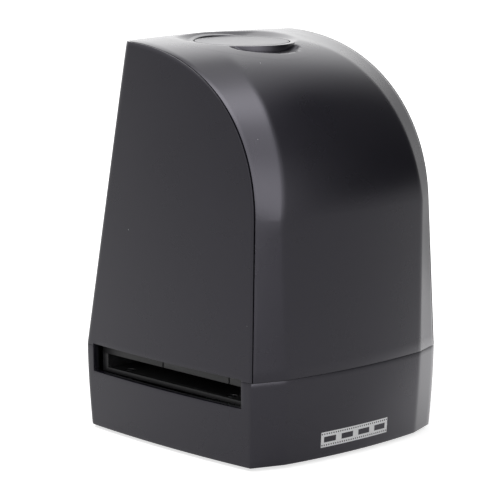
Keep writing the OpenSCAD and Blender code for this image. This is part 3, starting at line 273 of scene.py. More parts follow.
    def back_line(self, x: Array, z: Numbers, inset: float) -> Array:
        """Returns the place of the back wall's surface.

        Args:
            x: Place across the width.
            z: Height.
            inset: Distance inside the outer surface.

        Returns:
            The y of the surface.
        """
        radius = self.back_corner_r - inset
        line = self.back_at(z) - inset
        flat_half = self.half_at(z) - inset - radius
        across = np.abs(x)
        beyond = np.clip(across - flat_half, 0.0, radius)
        return np.where(across <= flat_half, line + self.back_crown * (1 - (across / flat_half) ** 2),
                        line - radius + np.sqrt(radius ** 2 - beyond ** 2))

    def round_back(self, step: Array, steps: tuple[int, int], flat: Numbers, y_end: Numbers,
                   radius: Numbers, bulge: Numbers) -> tuple[Array, Array]:
        """Follows a back corner and then half of the crowned back.

        Args:
            step: Columns, counted from the start of the corner.
            steps: Cells round the corner and along half of the back.
            flat: Half the distance between the corners' centres.
            y_end: Place of the corners' centres.
            radius: Radius of the corners.
            bulge: How far the side wall stands out where the corner starts.

        Returns:
            The x and the y of each point.
        """
        round_steps, back_steps = steps
        turn = np.radians(90.0 * np.clip(step, 0, round_steps) / round_steps)
        left = 1 - np.clip(step - round_steps, 0, back_steps) / back_steps
        on_back = step > round_steps
        x = np.where(on_back, flat * left, flat + (bulge + radius) * np.cos(turn))
        return x, np.where(on_back, y_end + radius + self.back_crown * (1 - left ** 2),
                           y_end + radius * np.sin(turn))

    def in_slot(self, centre: Vector) -> bool:
        """Says whether a face's centre lies on a side wall, between the ends of the slot."""
        return self.slot_front < centre.y < self.slot_back and abs(centre.x) > self.slot_from_x


FORM = BodyForm()


# Mesh tools
class Bench:
    """Steps that several pieces share, each done with Blender's own operators."""

    @staticmethod
    def clear() -> None:
        """Leaves edit mode and deselects everything."""
        if bpy.context.object and bpy.context.object.mode != "OBJECT":
            bpy.ops.object.mode_set(mode="OBJECT")
        bpy.ops.object.select_all(action="DESELECT")

    @staticmethod
    def activate(obj: Object) -> None:
        """Selects one object alone and makes it active."""
        Bench.clear()
        obj.select_set(True)
        bpy.context.view_layer.objects.active = obj

    @staticmethod
    def added(name: str) -> Object:
        """Names the primitive that was just added, with its mesh, and returns it."""
        obj = bpy.context.object
        obj.name = name
        obj.data.name = name
        return obj

    @staticmethod
    def settle(obj: Object) -> Object:
        """Applies an object's place and size to its mesh and returns it."""
        Bench.activate(obj)
        bpy.ops.object.transform_apply(location=True, rotation=True, scale=True)
        return obj

    @staticmethod
    def grid(name: str, columns: int, rows: int, place: Place) -> Object:
        """Adds a grid and lays its points on a surface.

        Args:
            name: Name of the new object.
            columns: Cells along the first direction.
            rows: Cells along the second direction.
            place: Turns column and row numbers into points in millimetres.

        Returns:
            The new object.
        """
        Bench.clear()
        bpy.ops.mesh.primitive_grid_add(x_subdivisions=columns, y_subdivisions=rows, size=2.0)
        obj = Bench.added(name)
        flat = np.empty(len(obj.data.vertices) * 3)
        obj.data.vertices.foreach_get("co", flat)
        share = (flat.reshape(-1, 3) + 1) / 2
        column = np.rint(share[:, 0] * columns).astype(int)
        row = np.rint(share[:, 1] * rows).astype(int)
        obj.data.vertices.foreach_set("co", (place(column, row) * MM).ravel())
        obj.data.update()
        return obj

    @staticmethod
    def mirrored_grid(name: str, half: int, rows: int, place: Place) -> Object:
        """Adds a grid whose left half mirrors its right half.

        Args:
            name: Name of the new object.
            half: Cells across each half.
            rows: Cells along the other direction.
            place: Turns column and row numbers of the right half into points in millimetres.

        Returns:
            The new object.
        """
        def whole(column: Array, row: Array) -> Array:
            """Lays a point of either half."""
            points = place(half - np.abs(column - half), row)
            return points * np.where(column <= half, 1.0, -1.0)[:, None] ** np.array([1, 0, 0])

        return Bench.grid(name, 2 * half, rows, whole)

    @staticmethod
    def cylinder(name: str, vertices: int, radius: float, low: float, high: float, y: float) -> Object:
        """Adds an upright cylinder.

        Args:
            name: Name of the new object.
            vertices: Corners of its outline.
            radius: Radius.
            low: Height of its lower face.
            high: Height of its upper face.
            y: Place of its axis, in the middle of the width.

        Returns:
            The new object.
        """
        Bench.clear()
        bpy.ops.mesh.primitive_cylinder_add(vertices=vertices, radius=radius * MM, depth=(high - low) * MM,
                                            location=(0, y * MM, (low + high) / 2 * MM))
        return Bench.added(name)

    @staticmethod
    def edit(obj: Object, mode: str = "FACE", action: str = "DESELECT") -> None:
        """Opens an object in edit mode, with nothing or everything selected."""
        Bench.activate(obj)
        bpy.ops.object.mode_set(mode="EDIT")
        bpy.ops.mesh.select_mode(type=mode)
        bpy.ops.mesh.select_all(action=action)

    @staticmethod
    def pick(obj: Object, test: Callable[[Vector, Vector], bool]) -> None:
        """Selects faces of the object in edit mode.

        Args:
            obj: Object in edit mode.
            test: Takes a face's centre in millimetres and its normal.
        """
        mesh = bmesh.from_edit_mesh(obj.data)
        for face in mesh.faces:
            face.select_set(bool(test(face.calc_center_median() / MM, face.normal)))
        mesh.select_flush_mode()
        bmesh.update_edit_mesh(obj.data)

    @staticmethod
    def close_edit() -> None:
        """Leaves edit mode."""
        bpy.ops.object.mode_set(mode="OBJECT")

    @staticmethod
    def remove(obj: Object, test: Callable[[Vector, Vector], bool]) -> None:
        """Deletes the faces that pass a test, as in pick."""
        Bench.edit(obj)
        Bench.pick(obj, test)
        bpy.ops.mesh.delete(type="FACE")
        Bench.close_edit()

    @staticmethod
    def outward(obj: Object, middle: tuple[float, float, float]) -> None:
        """Turns an open sheet's faces away from a middle point.

        Args:
            obj: The sheet.
            middle: The point, in millimetres.
        """
        inside = Vector(middle)
        lean = sum((f.center / MM - inside).normalized().dot(f.normal) * f.area for f in obj.data.polygons)
        if lean < 0:
            Bench.edit(obj, action="SELECT")
            bpy.ops.mesh.flip_normals()
            Bench.close_edit()

    @staticmethod
    def close_skin(obj: Object) -> None:
        """Turns a closed shell's faces outward."""
        Bench.edit(obj, action="SELECT")
        bpy.ops.mesh.normals_make_consistent(inside=False)
        Bench.close_edit()

    @staticmethod
    def merge(obj: Object, distance: float) -> None:
        """Merges points closer than distance, in millimetres."""
        Bench.edit(obj, "VERT", "SELECT")
        bpy.ops.mesh.remove_doubles(threshold=distance * MM)
        Bench.close_edit()

    @staticmethod
    def copy_node(node: Object, name: str, flatten: bool) -> Object:
        """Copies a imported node's mesh into a new object and merges its loose triangles.

        Args:
            node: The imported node.
            name: Name of the copy.
            flatten: Also joins triangles that lie in one plane.

        Returns:
            The copy.
        """
        copy = bpy.data.objects.new(name, node.data.copy())
        bpy.context.scene.collection.objects.link(copy)
        Bench.edit(copy, "VERT", "SELECT")
        bpy.ops.mesh.remove_doubles(threshold=LOOSE * MM)
        if flatten:
            bpy.ops.mesh.dissolve_limited(angle_limit=math.radians(0.5))
        Bench.close_edit()
        return copy

    @staticmethod
    def modify(obj: Object, kind: str, **settings: object) -> None:
        """Adds a modifier with its settings and applies it at once.

        Args:
            obj: Object to change.
            kind: Type of the modifier.
            settings: Its properties.
        """
        Bench.activate(obj)
        modifier = obj.modifiers.new(kind.lower(), kind)
        for key, value in settings.items():
            setattr(modifier, key, value)
        bpy.ops.object.modifier_apply(modifier=modifier.name)

    @staticmethod
    def thicken(obj: Object, thickness: float) -> None:
        """Gives an open sheet a thickness inward."""
        Bench.modify(obj, "SOLIDIFY", thickness=thickness * MM, offset=-1.0, use_even_offset=True,
                     use_quality_normals=True)

    @staticmethod
    def round_edges(obj: Object, width: float, segments: int = 2, angle: float = 40.0) -> None:
        """Rounds edges that turn by more than angle."""
        Bench.modify(obj, "BEVEL", width=width * MM, segments=segments, limit_method="ANGLE",
                     angle_limit=math.radians(angle), use_clamp_overlap=True)

    @staticmethod
    def cut(obj: Object, tool: Object, operation: str = "DIFFERENCE") -> None:
        """Combines a closed tool with an object and removes the tool."""
        Bench.modify(obj, "BOOLEAN", object=tool, operation=operation, solver="EXACT")
        bpy.data.objects.remove(tool)


# Finishes
class Nodes:
    """Short way to build a node tree."""

    def __init__(self, tree: bpy.types.NodeTree) -> None:
        """Takes the tree to build in."""
        self.tree = tree

    @staticmethod
    def blank(owner: bpy.types.Material | bpy.types.World) -> "Nodes":
        """Empties the tree of a material or a world and returns its builder."""
        owner.use_nodes = True
        owner.node_tree.nodes.clear()
        return Nodes(owner.node_tree)

    def fill(self, entry: Socket, value: object) -> None:
        """Links a socket to an input, or sets the input to a value."""
        if isinstance(value, Socket):
            self.tree.links.new(value, entry)
        else:
            entry.default_value = value

    def add(self, kind: str, *entries: object, **settings: object) -> bpy.types.Node:
        """Adds a node, sets its properties and fills its inputs.

        Args:
            kind: Node type without its prefix.
            entries: Values or sockets for the first inputs, in order.
            settings: Properties, or inputs by capitalised name with underscores for spaces.

        Returns:
            The new node.
        """
        node = self.tree.nodes.new("ShaderNode" + kind)
        inputs = dict(enumerate(entries))
        for key, value in settings.items():
            if key[0].isupper():
                inputs[key.replace("_", " ")] = value
            else:
                setattr(node, key, value)
        for key, value in inputs.items():
            self.fill(node.inputs[key], value)
        return node

    def first(self, kind: str, *entries: object, **settings: object) -> Socket:
        """Adds a node and returns its first output."""
        return self.add(kind, *entries, **settings).outputs[0]

    def math(self, operation: str, *entries: object) -> Socket:
        """Adds a sum of numbers and returns its result."""
        return self.first("Math", *entries, operation=operation)

    def measure(self, operation: str, *entries: object) -> Socket:
        """Adds a measure of vectors and returns its number."""
        return self.add("VectorMath", *entries, operation=operation).outputs["Value"]

    def ease(self, value: Socket, reach: Pair, levels: Pair = (0.0, 1.0)) -> Socket:
        """Adds a smooth step from one level to another over a reach of the value."""
        return self.first("MapRange", value, *reach, *levels, interpolation_type="SMOOTHSTEP")

    def mix(self, factor: object, start: object, end: object, **settings: object) -> Socket:
        """Adds a mix of two colours.

        Args:
            factor: Share of the second colour.
            start: First colour.
            end: Second colour.
            settings: Further properties.

        Returns:
            The mixed colour.
        """
        node = self.add("Mix", factor, data_type="RGBA", **settings)
        self.fill(node.inputs[6], start)
        self.fill(node.inputs[7], end)
        return node.outputs[2]


class Group(Nodes):
    """Shader node group with named inputs and outputs."""

    def __init__(self, name: str, **inputs: object) -> None:
        """Makes the group with its inputs.

        Args:
            name: Name of the group.
            inputs: Default number or colour of each input; a vector input called Vector is always there.
        """
        super().__init__(bpy.data.node_groups.new(name, "ShaderNodeTree"))
        self.socket("Vector", "INPUT", "Vector")
        for label, value in inputs.items():
            kind = "Color" if isinstance(value, tuple) else "Float"
            self.socket(label, "INPUT", kind).default_value = value
        self.given = self.tree.nodes.new("NodeGroupInput").outputs
        self.result = self.tree.nodes.new("NodeGroupOutput").inputs

    def socket(self, label: str, way: str, kind: str) -> bpy.types.NodeTreeInterfaceSocket:
        """Adds a named socket and returns it."""
        return self.tree.interface.new_socket(name=label, in_out=way, socket_type="NodeSocket" + kind)

    def noise(self, scale: Socket | float, detail: float, roughness: float) -> Socket:
        """Adds noise at the given place and returns its strength."""
        return self.first("TexNoise", Vector=self.given["Vector"], Scale=scale, Detail=detail,
                          Roughness=roughness)

    def give(self, label: str, value: Socket, kind: str = "Float") -> None:
        """Adds an output that puts out a value."""
        self.socket(label, "OUTPUT", kind)
        self.tree.links.new(value, self.result[label])


class Effects:
    """Node groups that several finishes share."""

    def __init__(self) -> None:
        """Builds every group once."""
        self.grain = self.build_grain()
        self.dust = self.build_dust()
        self.drift = self.build_drift()

    @staticmethod
    def build_grain() -> bpy.types.NodeTree:
        """Builds fine moulded grain.

        Returns:
            A group that puts out a height and a roughness that changes a little.
        """
        g = Group("MouldedGrain", Scale=2600.0, Roughness=0.4, Change=0.06)
        fine = g.noise(g.given["Scale"], 2.0, 0.55)
        broad = g.noise(60.0, 3.0, 0.5)
        g.give("Height", fine)
        g.give("Roughness", g.math("MULTIPLY_ADD", g.math("SUBTRACT", broad, 0.5), g.given["Change"],
                                   g.given["Roughness"]))
        return g.tree

    @staticmethod
    def build_dust() -> bpy.types.NodeTree:
        """Builds sparse specks.

        Returns:
            A group that puts out a mask.
        """
        g = Group("DustSpecks", Scale=260.0, Size=0.045, Share=0.03)
        cells = g.add("TexVoronoi", Vector=g.given["Vector"], Scale=g.given["Scale"], feature="F1").outputs
        near = g.math("LESS_THAN", cells["Distance"], g.given["Size"])
        rare = g.math("LESS_THAN", g.first("SeparateColor", cells["Color"]), g.given["Share"])
        g.give("Mask", g.math("MULTIPLY", near, rare))
        return g.tree

    @staticmethod
    def build_drift() -> bpy.types.NodeTree:
        """Builds a slow change between two colours.

        Returns:
            A group that puts out the colour.
        """
        g = Group("ColourDrift", Scale=30.0, Dark=(0.0, 0.0, 0.0, 1.0), Light=WHITE)
        share = g.noise(g.given["Scale"], 4.0, 0.6)
        g.give("Color", g.mix(share, g.given["Dark"], g.given["Light"]), "Color")
        return g.tree


@dataclass(frozen=True)
class Finish:
    """One surface finish, with moulded or machined grain and colour that drifts a little."""

    name: str
    dark: Colour
    light: Colour
    roughness: float
    roughness_change: float = 0.06
    grain_scale: float = 2600.0
    grain_depth: float = 0.02
    metallic: float = 0.0
    transmission: float = 0.0
    tint: Colour = (1.0, 1.0, 1.0)
    dust: float = 0.0
    dust_colour: Colour = (0.35, 0.35, 0.36)
    drift_scale: float = 30.0

    def make(self, effects: Effects) -> bpy.types.Material:
        """Builds the material.

        Args:
            effects: Shared node groups.

        Returns:
            The new material.
        """
        material = bpy.data.materials.new(self.name)
        n = Nodes.blank(material)
        place = n.add("TexCoord").outputs["Object"]
        colour = n.first("Group", node_tree=effects.drift, Vector=place, Scale=self.drift_scale,
                         Dark=(*self.dark, 1.0), Light=(*self.light, 1.0))
        if self.dust > 0:
            specks = n.first("Group", node_tree=effects.dust, Vector=place, Share=self.dust)
            colour = n.mix(specks, colour, (*self.dust_colour, 1.0))
        grain = n.add("Group", node_tree=effects.grain, Vector=place, Scale=self.grain_scale,
                      Roughness=self.roughness, Change=self.roughness_change).outputs
        bump = n.first("Bump", Strength=1.0, Distance=self.grain_depth * MM, Height=grain["Height"])
        shader = n.first("BsdfPrincipled", Base_Color=colour, Roughness=grain["Roughness"], Normal=bump,
                         Metallic=self.metallic, Transmission_Weight=self.transmission,
                         Specular_Tint=(*self.tint, 1.0))
        n.add("OutputMaterial", shader)
        return material


class FinishShelf:
    """Every finish, kept by the record's material slot."""

    def __init__(self) -> None:
        """Builds the shared groups and every finish."""
        effects = Effects()
        cool = (0.92, 0.89, 1.0)
        kinds = {
            "housing": Finish("SatinCharcoal", (0.0040, 0.0037, 0.0066), (0.0056, 0.0052, 0.0086), 0.28,
                              grain_scale=1700.0, grain_depth=0.014, dust=0.05, tint=cool),
            "button_plastic": Finish("SatinButton", (0.0046, 0.0043, 0.0072), (0.0062, 0.0058, 0.0094), 0.36,
                                     grain_depth=0.008, dust=0.02, tint=cool),
            "foot_rubber": Finish("FootRubber", (0.012, 0.012, 0.012), (0.02, 0.02, 0.02), 0.75,
                                  grain_depth=0.03),
            "guide_plastic": Finish("GuideBlack", (0.003, 0.003, 0.0036), (0.005, 0.005, 0.0058), 0.5,
                                    grain_depth=0.012),
            "frame_plastic": Finish("FrameBlack", (0.02, 0.02, 0.022), (0.03, 0.03, 0.032), 0.55,
                                    grain_depth=0.03),
            "steel": Finish("PlatedSteel", (0.52, 0.53, 0.55), (0.62, 0.62, 0.63), 0.32, metallic=1.0,
                            grain_scale=900.0, grain_depth=0.01),
            "barrel_metal": Finish("AnodisedBarrel", (0.03, 0.03, 0.033), (0.045, 0.045, 0.048), 0.42,
                                   metallic=0.9),
            "lens_glass": Finish("CoatedLens", (0.82, 0.88, 0.95), (0.9, 0.94, 0.98), 0.03, 0.01,
                                 grain_depth=0.0005, transmission=1.0),
            "filter_glass": Finish("FilterGlass", (0.55, 0.75, 0.8), (0.62, 0.82, 0.86), 0.04, 0.01,
                                   grain_depth=0.0005, transmission=0.9),
            "white_plastic": Finish("ReflectorWhite", (0.80, 0.80, 0.78), (0.86, 0.86, 0.84), 0.30),
            "opal": Finish("OpalSheet", (0.84, 0.84, 0.82), (0.9, 0.9, 0.88), 0.45, transmission=0.3),
            "diode_resin": Finish("DiodeResin", (0.75, 0.62, 0.25), (0.88, 0.78, 0.42), 0.25),
            "header_plastic": Finish("NaturalNylon", (0.68, 0.65, 0.56), (0.78, 0.75, 0.66), 0.5),
            "ribbon_plastic": Finish("RibbonFilm", (0.66, 0.64, 0.58), (0.76, 0.74, 0.68), 0.4),
            "wire_red": Finish("WireRed", (0.38, 0.035, 0.025), (0.5, 0.06, 0.04), 0.4),
            "wire_blue": Finish("WireBlue", (0.03, 0.09, 0.24), (0.05, 0.14, 0.34), 0.4),
            "wire_grey": Finish("WireGrey", (0.5, 0.48, 0.43), (0.62, 0.6, 0.54), 0.4),
            "chip_black": Finish("ChipResin", (0.012, 0.012, 0.013), (0.022, 0.022, 0.023), 0.6,
                                 grain_depth=0.03),
            "plunger_white": Finish("PlungerNylon", (0.66, 0.66, 0.63), (0.74, 0.74, 0.71), 0.45),
            "board": Finish("BoardResist", (0.012, 0.085, 0.035), (0.02, 0.12, 0.055), 0.3,
                            drift_scale=220.0),
        }
        self.by_slot = {slot: kind.make(effects) for slot, kind in kinds.items()}
        self.blackened = Finish("BlackenedSteel", (0.012, 0.012, 0.014), (0.02, 0.02, 0.022), 0.45,
                                metallic=0.6).make(effects)
        self.print_white = Finish("PrintWhite", (0.93, 0.93, 0.94), (0.97, 0.97, 0.98), 0.5,
                                  grain_depth=0.006).make(effects)

    def dress_nodes(self, nodes: dict[str, Object], record: dict) -> None:
        """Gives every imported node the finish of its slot, and the screws in the slot a dark one.

        Args:
            nodes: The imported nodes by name.
            record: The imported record.
        """
        for part in record["subparts"]:
            name, slot = part["node"], part["material_slot"]
            material = self.blackened if name == "guide_screws" else self.by_slot[slot]
            nodes[name].data.materials.clear()
            nodes[name].data.materials.append(material)
            LOG.info("node %s: %s", name, slot)

    def dress(self, obj: Object, slot: str, replaces: Sequence[str] = (), body: Body = Body.HOUSING,
              material: bpy.types.Material | None = None, angle: float = 30.0) -> Object:
        """Shades a piece, dresses it and ties it to its body.

        Args:
            obj: Finished piece, in place.
            slot: Material slot of the record that it follows.
            replaces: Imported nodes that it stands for.
            body: Body that it rides on.
            material: Its finish, where it isn't the slot's own.
            angle: Angle over which an edge stays crisp.

        Returns:
            The same piece.
        """
        Bench.settle(obj)
        bpy.ops.object.shade_smooth_by_angle(angle=math.radians(angle))
        obj.data.materials.clear()
        obj.data.materials.append(material or self.by_slot[slot])
        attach(obj, body.value)
        if replaces:
            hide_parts(*replaces)
        LOG.info("piece %s: %d faces", obj.name, len(obj.data.polygons))
        return obj


# Tower
@dataclass
class FrontHood:
    """Front, arch and top in one skin, with the platform for the button and the scoop before it."""

    finishes: FinishShelf
    front_shares: Sequence[float] = (0, .1, .2, .3, .4, .5, .6, .68, .75, .81, .86, .9, .935, .965, 1)
    facet_shares: Sequence[float] = (.07, .14, .22, .32, .44, .58, .73, .88, 1)
    rise_rows: int = 14
    arch_rows: int = 110
    reach_from: float = 0.84
    reach_power: float = 1.5
    top_from: float = 0.15
    top_steps: int = 260
    edge_round: float = 0.07
    button_y: float = 10.2
    platform_r: float = 18.3
    platform_z: float = 133.9
    platform_tilt: float = 0.9
    soften: float = 0.18
    soften_start: float = 0.3
    rim_flat: float = 0.9
    rim_drop: float = 0.02
    dish_slope: float = 0.267
    dish_blend: float = 0.25
    back_rise: float = 1.1
    back_rise_w: float = 6.0
    back_rise_power: float = 1.5
    hole_r: float = 16.5
    well_r: float = 17.6
    well_wall: float = 1.1
    well_low: float = 127.3
    step_z: float = 130.7
    patch_r: float = 27.0
    patch_overlap: float = 0.3
    patch_under: float = 2.0
    patch_sink: Pair = (0.02, 0.12)
    patch_shares: Sequence[float] = (0, .012, .03, .055, .085, .12, .16, .2, .25, .31, .38, .46, .55, .65,
                                     .75, .85, .93, 1)
    scoop_r: float = 2.1
    scoop_out: float = 0.85
    scoop_drop: float = 1.3
    scoop_rise: float = 7.0
    scoop_ends: Pair = (20.0, 76.0)
    scoop_turn: float = 9.0
    scoop_blend: float = 0.12
    clear_z: float = 1000.0
    opening_depth: float = 40.0
    turns: int = 240
    limit_rounds: int = 40

    def sheet(self, name: str, edge: float, level: float) -> Object:
        """Makes the swept skin as an open sheet.

        Args:
            name: Name of the object.
            edge: Distance of its edges from the outer surface of the sides and back.
            level: Distance of the sheet above the finished surface.

        Returns:
            The sheet.
        """
        on_front, on_facet = (mirrored(part) for part in spread(self.front_shares, self.facet_shares))
        rise = np.linspace(-1.0, 0.0, self.rise_rows, endpoint=False)
        rows = np.concatenate([rise, np.linspace(0.0, 1.0, self.arch_rows + 1)])

        def place(column: Array, row: Array) -> Array:
            """Lays a point on the skin."""
            v = rows[row]
            points, outward = FORM.station(v)
            z = points[:, 1]
            soft = FORM.soft_half(v, z)
            x = soft * on_front[column] + (FORM.half_at(z) - edge - soft) * on_facet[column]
            skin = points + outward * (FORM.skin_rise(v, z, x) + level)[:, None]
            ramp = np.clip((v - self.reach_from) / (1 - self.reach_from), 0.0, 1.0) ** self.reach_power
            reach = ramp * (FORM.back_line(x, FORM.top_z, edge) - FORM.back_edge_y)
            return np.stack([x, skin[:, 0] + reach, skin[:, 1] + reach * FORM.top_slope], axis=1)

        sheet = Bench.grid(name, len(on_front) - 1, len(rows) - 1, place)
        Bench.outward(sheet, (0.0, 20.0, 60.0))
        return sheet

    def block(self, name: str, edge: float, low: float, high: float) -> Object:
        """Makes a closed block between two levels of the skin, with sides across the width.

        Args:
            name: Name of the object.
            edge: Distance of its sides from the outer surface of the sides and back.
            low: Level of its inner face over the finished surface.
            high: Level of its outer face.

        Returns:
            The block.
        """
        inner = self.sheet(name + "_low", edge, low)
        outer = self.sheet(name, edge, high)
        Bench.activate(outer)
        inner.select_set(True)
        bpy.ops.object.join()
        Bench.edit(outer, "EDGE")
        bpy.ops.mesh.select_non_manifold(extend=False, use_wire=False, use_multi_face=False, use_verts=False)
        bpy.ops.mesh.bridge_edge_loops()
        Bench.close_edit()
        Bench.close_skin(outer)
        return outer

    def skin_height(self, x: Array, y: Array) -> Array:
        """Returns the height of the bare skin over places on the top.

        Args:
            x: Places across.
            y: Places along.

        Returns:
            The heights.
        """
        v = np.linspace(self.top_from, 1.0, self.top_steps)
        points, outward = FORM.station(v)
        height = np.empty_like(x)
        for i, (px, py) in enumerate(zip(x, y)):
            line = points + outward * FORM.skin_rise(v, points[:, 1], px)[:, None]
            height[i] = np.interp(py, line[:, 0], line[:, 1]) + max(0.0, py - line[-1, 0]) * FORM.top_slope
        return height

    def platform_height(self, x: Array, y: Array) -> Array:
        """Returns the height of the platform's plane, which curls up along the back edge.

        Args:
            x: Places across.
            y: Places along.

        Returns:
            The heights.
        """
        back = FORM.back_line(x, FORM.top_z, FORM.hood_inset)
        near_back = np.clip(1.0 - (back - y) / self.back_rise_w, 0.0, 1.0)
        plane = self.platform_z + (y - self.button_y) * math.tan(math.radians(self.platform_tilt))
        return plane + self.back_rise * near_back ** self.back_rise_power

    def scoop_height(self, x: Array, y: Array) -> Array:
        """Returns the height of the crescent groove before the platform.

        Args:
            x: Places across.
            y: Places along.

        Returns:
            The heights, far above the top where there is no groove.
        """
        from_ring = np.hypot(x, y - self.button_y) - self.platform_r - self.scoop_out * self.scoop_r
        first, last = np.radians(self.scoop_ends)
        away = np.arctan2(y - self.button_y, x) + math.radians(90.0 + self.scoop_turn)
        ends = np.clip((np.arccos(np.cos(away)) - first) / (last - first), 0.0, 1.0)
        middle = self.platform_z - self.scoop_drop + self.scoop_rise * ends ** 2 * (3 - 2 * ends)
        groove = middle - np.sqrt(np.maximum(self.scoop_r ** 2 - from_ring ** 2, 0.0))
        return np.where(np.abs(from_ring) < self.scoop_r, groove, self.clear_z)

    def top_height(self, x: Array, y: Array) -> Array:
        """Returns the height of the finished top around the platform.

        Args:
            x: Places across.
            y: Places along.

        Returns:
            The heights.
        """
        away = np.hypot(x, y - self.button_y)
        dish = self.platform_height(x, y) + self.dish_slope * np.maximum(away - self.platform_r, 0.0)
        dished = smooth_min(self.skin_height(x, y), dish, self.dish_blend)
        return smooth_min(dished, self.scoop_height(x, y), self.scoop_blend)

    def back_limit(self, angle: Array) -> Array:
        """Finds how far the patch around the button may reach before the skin's back edge.

        Args:
            angle: Directions from the button's axis.

        Returns:
            The distance along each direction.
        """
        radius = np.full_like(angle, self.patch_r)
        for _ in range(self.limit_rounds):
            limit = FORM.back_line(radius * np.cos(angle), FORM.top_z, FORM.hood_inset) - self.button_y
            nearer = (radius + limit / np.maximum(np.sin(angle), 0.2)) / 2
            radius = np.where(radius * np.sin(angle) > limit, nearer, radius)
        return radius

    def top_rings(self, angle: Array, limit: Array) -> list[tuple[Array, Array]]:
        """Rings of the patch's upper face, from the hole's rim to its outer edge.

        Args:
            angle: Directions from the button's axis.
            limit: How far the patch reaches in each direction.

        Returns:
            The distance and the height in each direction, ring by ring.
        """
        def over(height: Place, radius: Array) -> Array:
            """Reads a height at distances from the button's axis."""
            return height(radius * np.cos(angle), self.button_y + radius * np.sin(angle))

        foot = over(self.top_height, np.full_like(angle, self.platform_r))
        start, deep = self.soften * self.soften_start, self.soften + self.rim_drop
        rings = []
        for ring_r, drop in ((self.hole_r, deep), (self.hole_r + start, start),
                             (self.hole_r + self.soften, 0.0), (self.hole_r + self.rim_flat, 0.0),
                             (self.platform_r - self.soften, 0.0), (self.platform_r - start, start),
                             (self.platform_r, self.soften)):
            radius = np.full_like(angle, ring_r)
            flat = over(self.platform_height, radius)
            outer = ring_r > self.hole_r + self.rim_flat
            rings.append((radius, np.maximum(flat - drop, np.minimum(foot, flat) if outer else flat - deep)))
        for share in self.patch_shares:
            radius = self.platform_r + (limit - self.platform_r) * share
            rings.append((radius, over(self.top_height, radius)))
        outer_r, outer_z = rings.pop()
        inside, at_edge = self.patch_sink
        outer_z = outer_z - np.where(limit < self.patch_r - 0.01, at_edge, inside)
        tube_r = np.full_like(angle, self.well_r + self.well_wall)
        below = over(self.top_height, np.minimum(tube_r, limit)) - self.patch_under
        return [*rings, (outer_r, outer_z), (outer_r, outer_z - self.patch_under),
                (np.minimum(tube_r, limit - 0.05), np.maximum(below, self.well_low + 0.5))]

    def patch(self) -> Object:
        """Makes the top around the button as a closed ring.

        Returns:
            The ring.
        """
        angle = np.linspace(0.0, 2 * math.pi, self.turns + 1)
        rings = self.top_rings(angle, self.back_limit(angle))
        tube_r = rings[-1][0]
        for radius, z in ((tube_r, self.well_low), (self.well_r, self.well_low), (self.well_r, self.step_z),
                          (self.hole_r, self.step_z)):
            rings.append((np.zeros_like(angle) + radius, np.full_like(angle, z)))
        rings.append(rings[0])
        radii, levels = (np.stack(part) for part in zip(*rings))

        def place(column: Array, row: Array) -> Array:
            """Puts a point on its ring."""
            radius = radii[row, column]
            turn = angle[column]
            return np.stack([radius * np.cos(turn), self.button_y + radius * np.sin(turn),
                             levels[row, column]], axis=1)

        patch = Bench.grid("top_patch", self.turns, len(rings) - 1, place)
        Bench.merge(patch, LOOSE)
        Bench.close_skin(patch)
        return patch

    def build(self) -> Object:
        """Models the hood.

        Returns:
            The hood.
        """
        hood = self.sheet("front_hood_skin", FORM.hood_inset, 0.0)
        Bench.thicken(hood, FORM.wall)
        Bench.round_edges(hood, self.edge_round)
        reach = self.opening_depth / 2
        Bench.cut(hood, Bench.cylinder("hood_opening", self.turns, self.patch_r - self.patch_overlap,
                                       self.platform_z - reach, self.platform_z + reach, self.button_y))
        Bench.cut(hood, self.patch(), "UNION")
        return self.finishes.dress(hood, "housing", ["front_hood"])


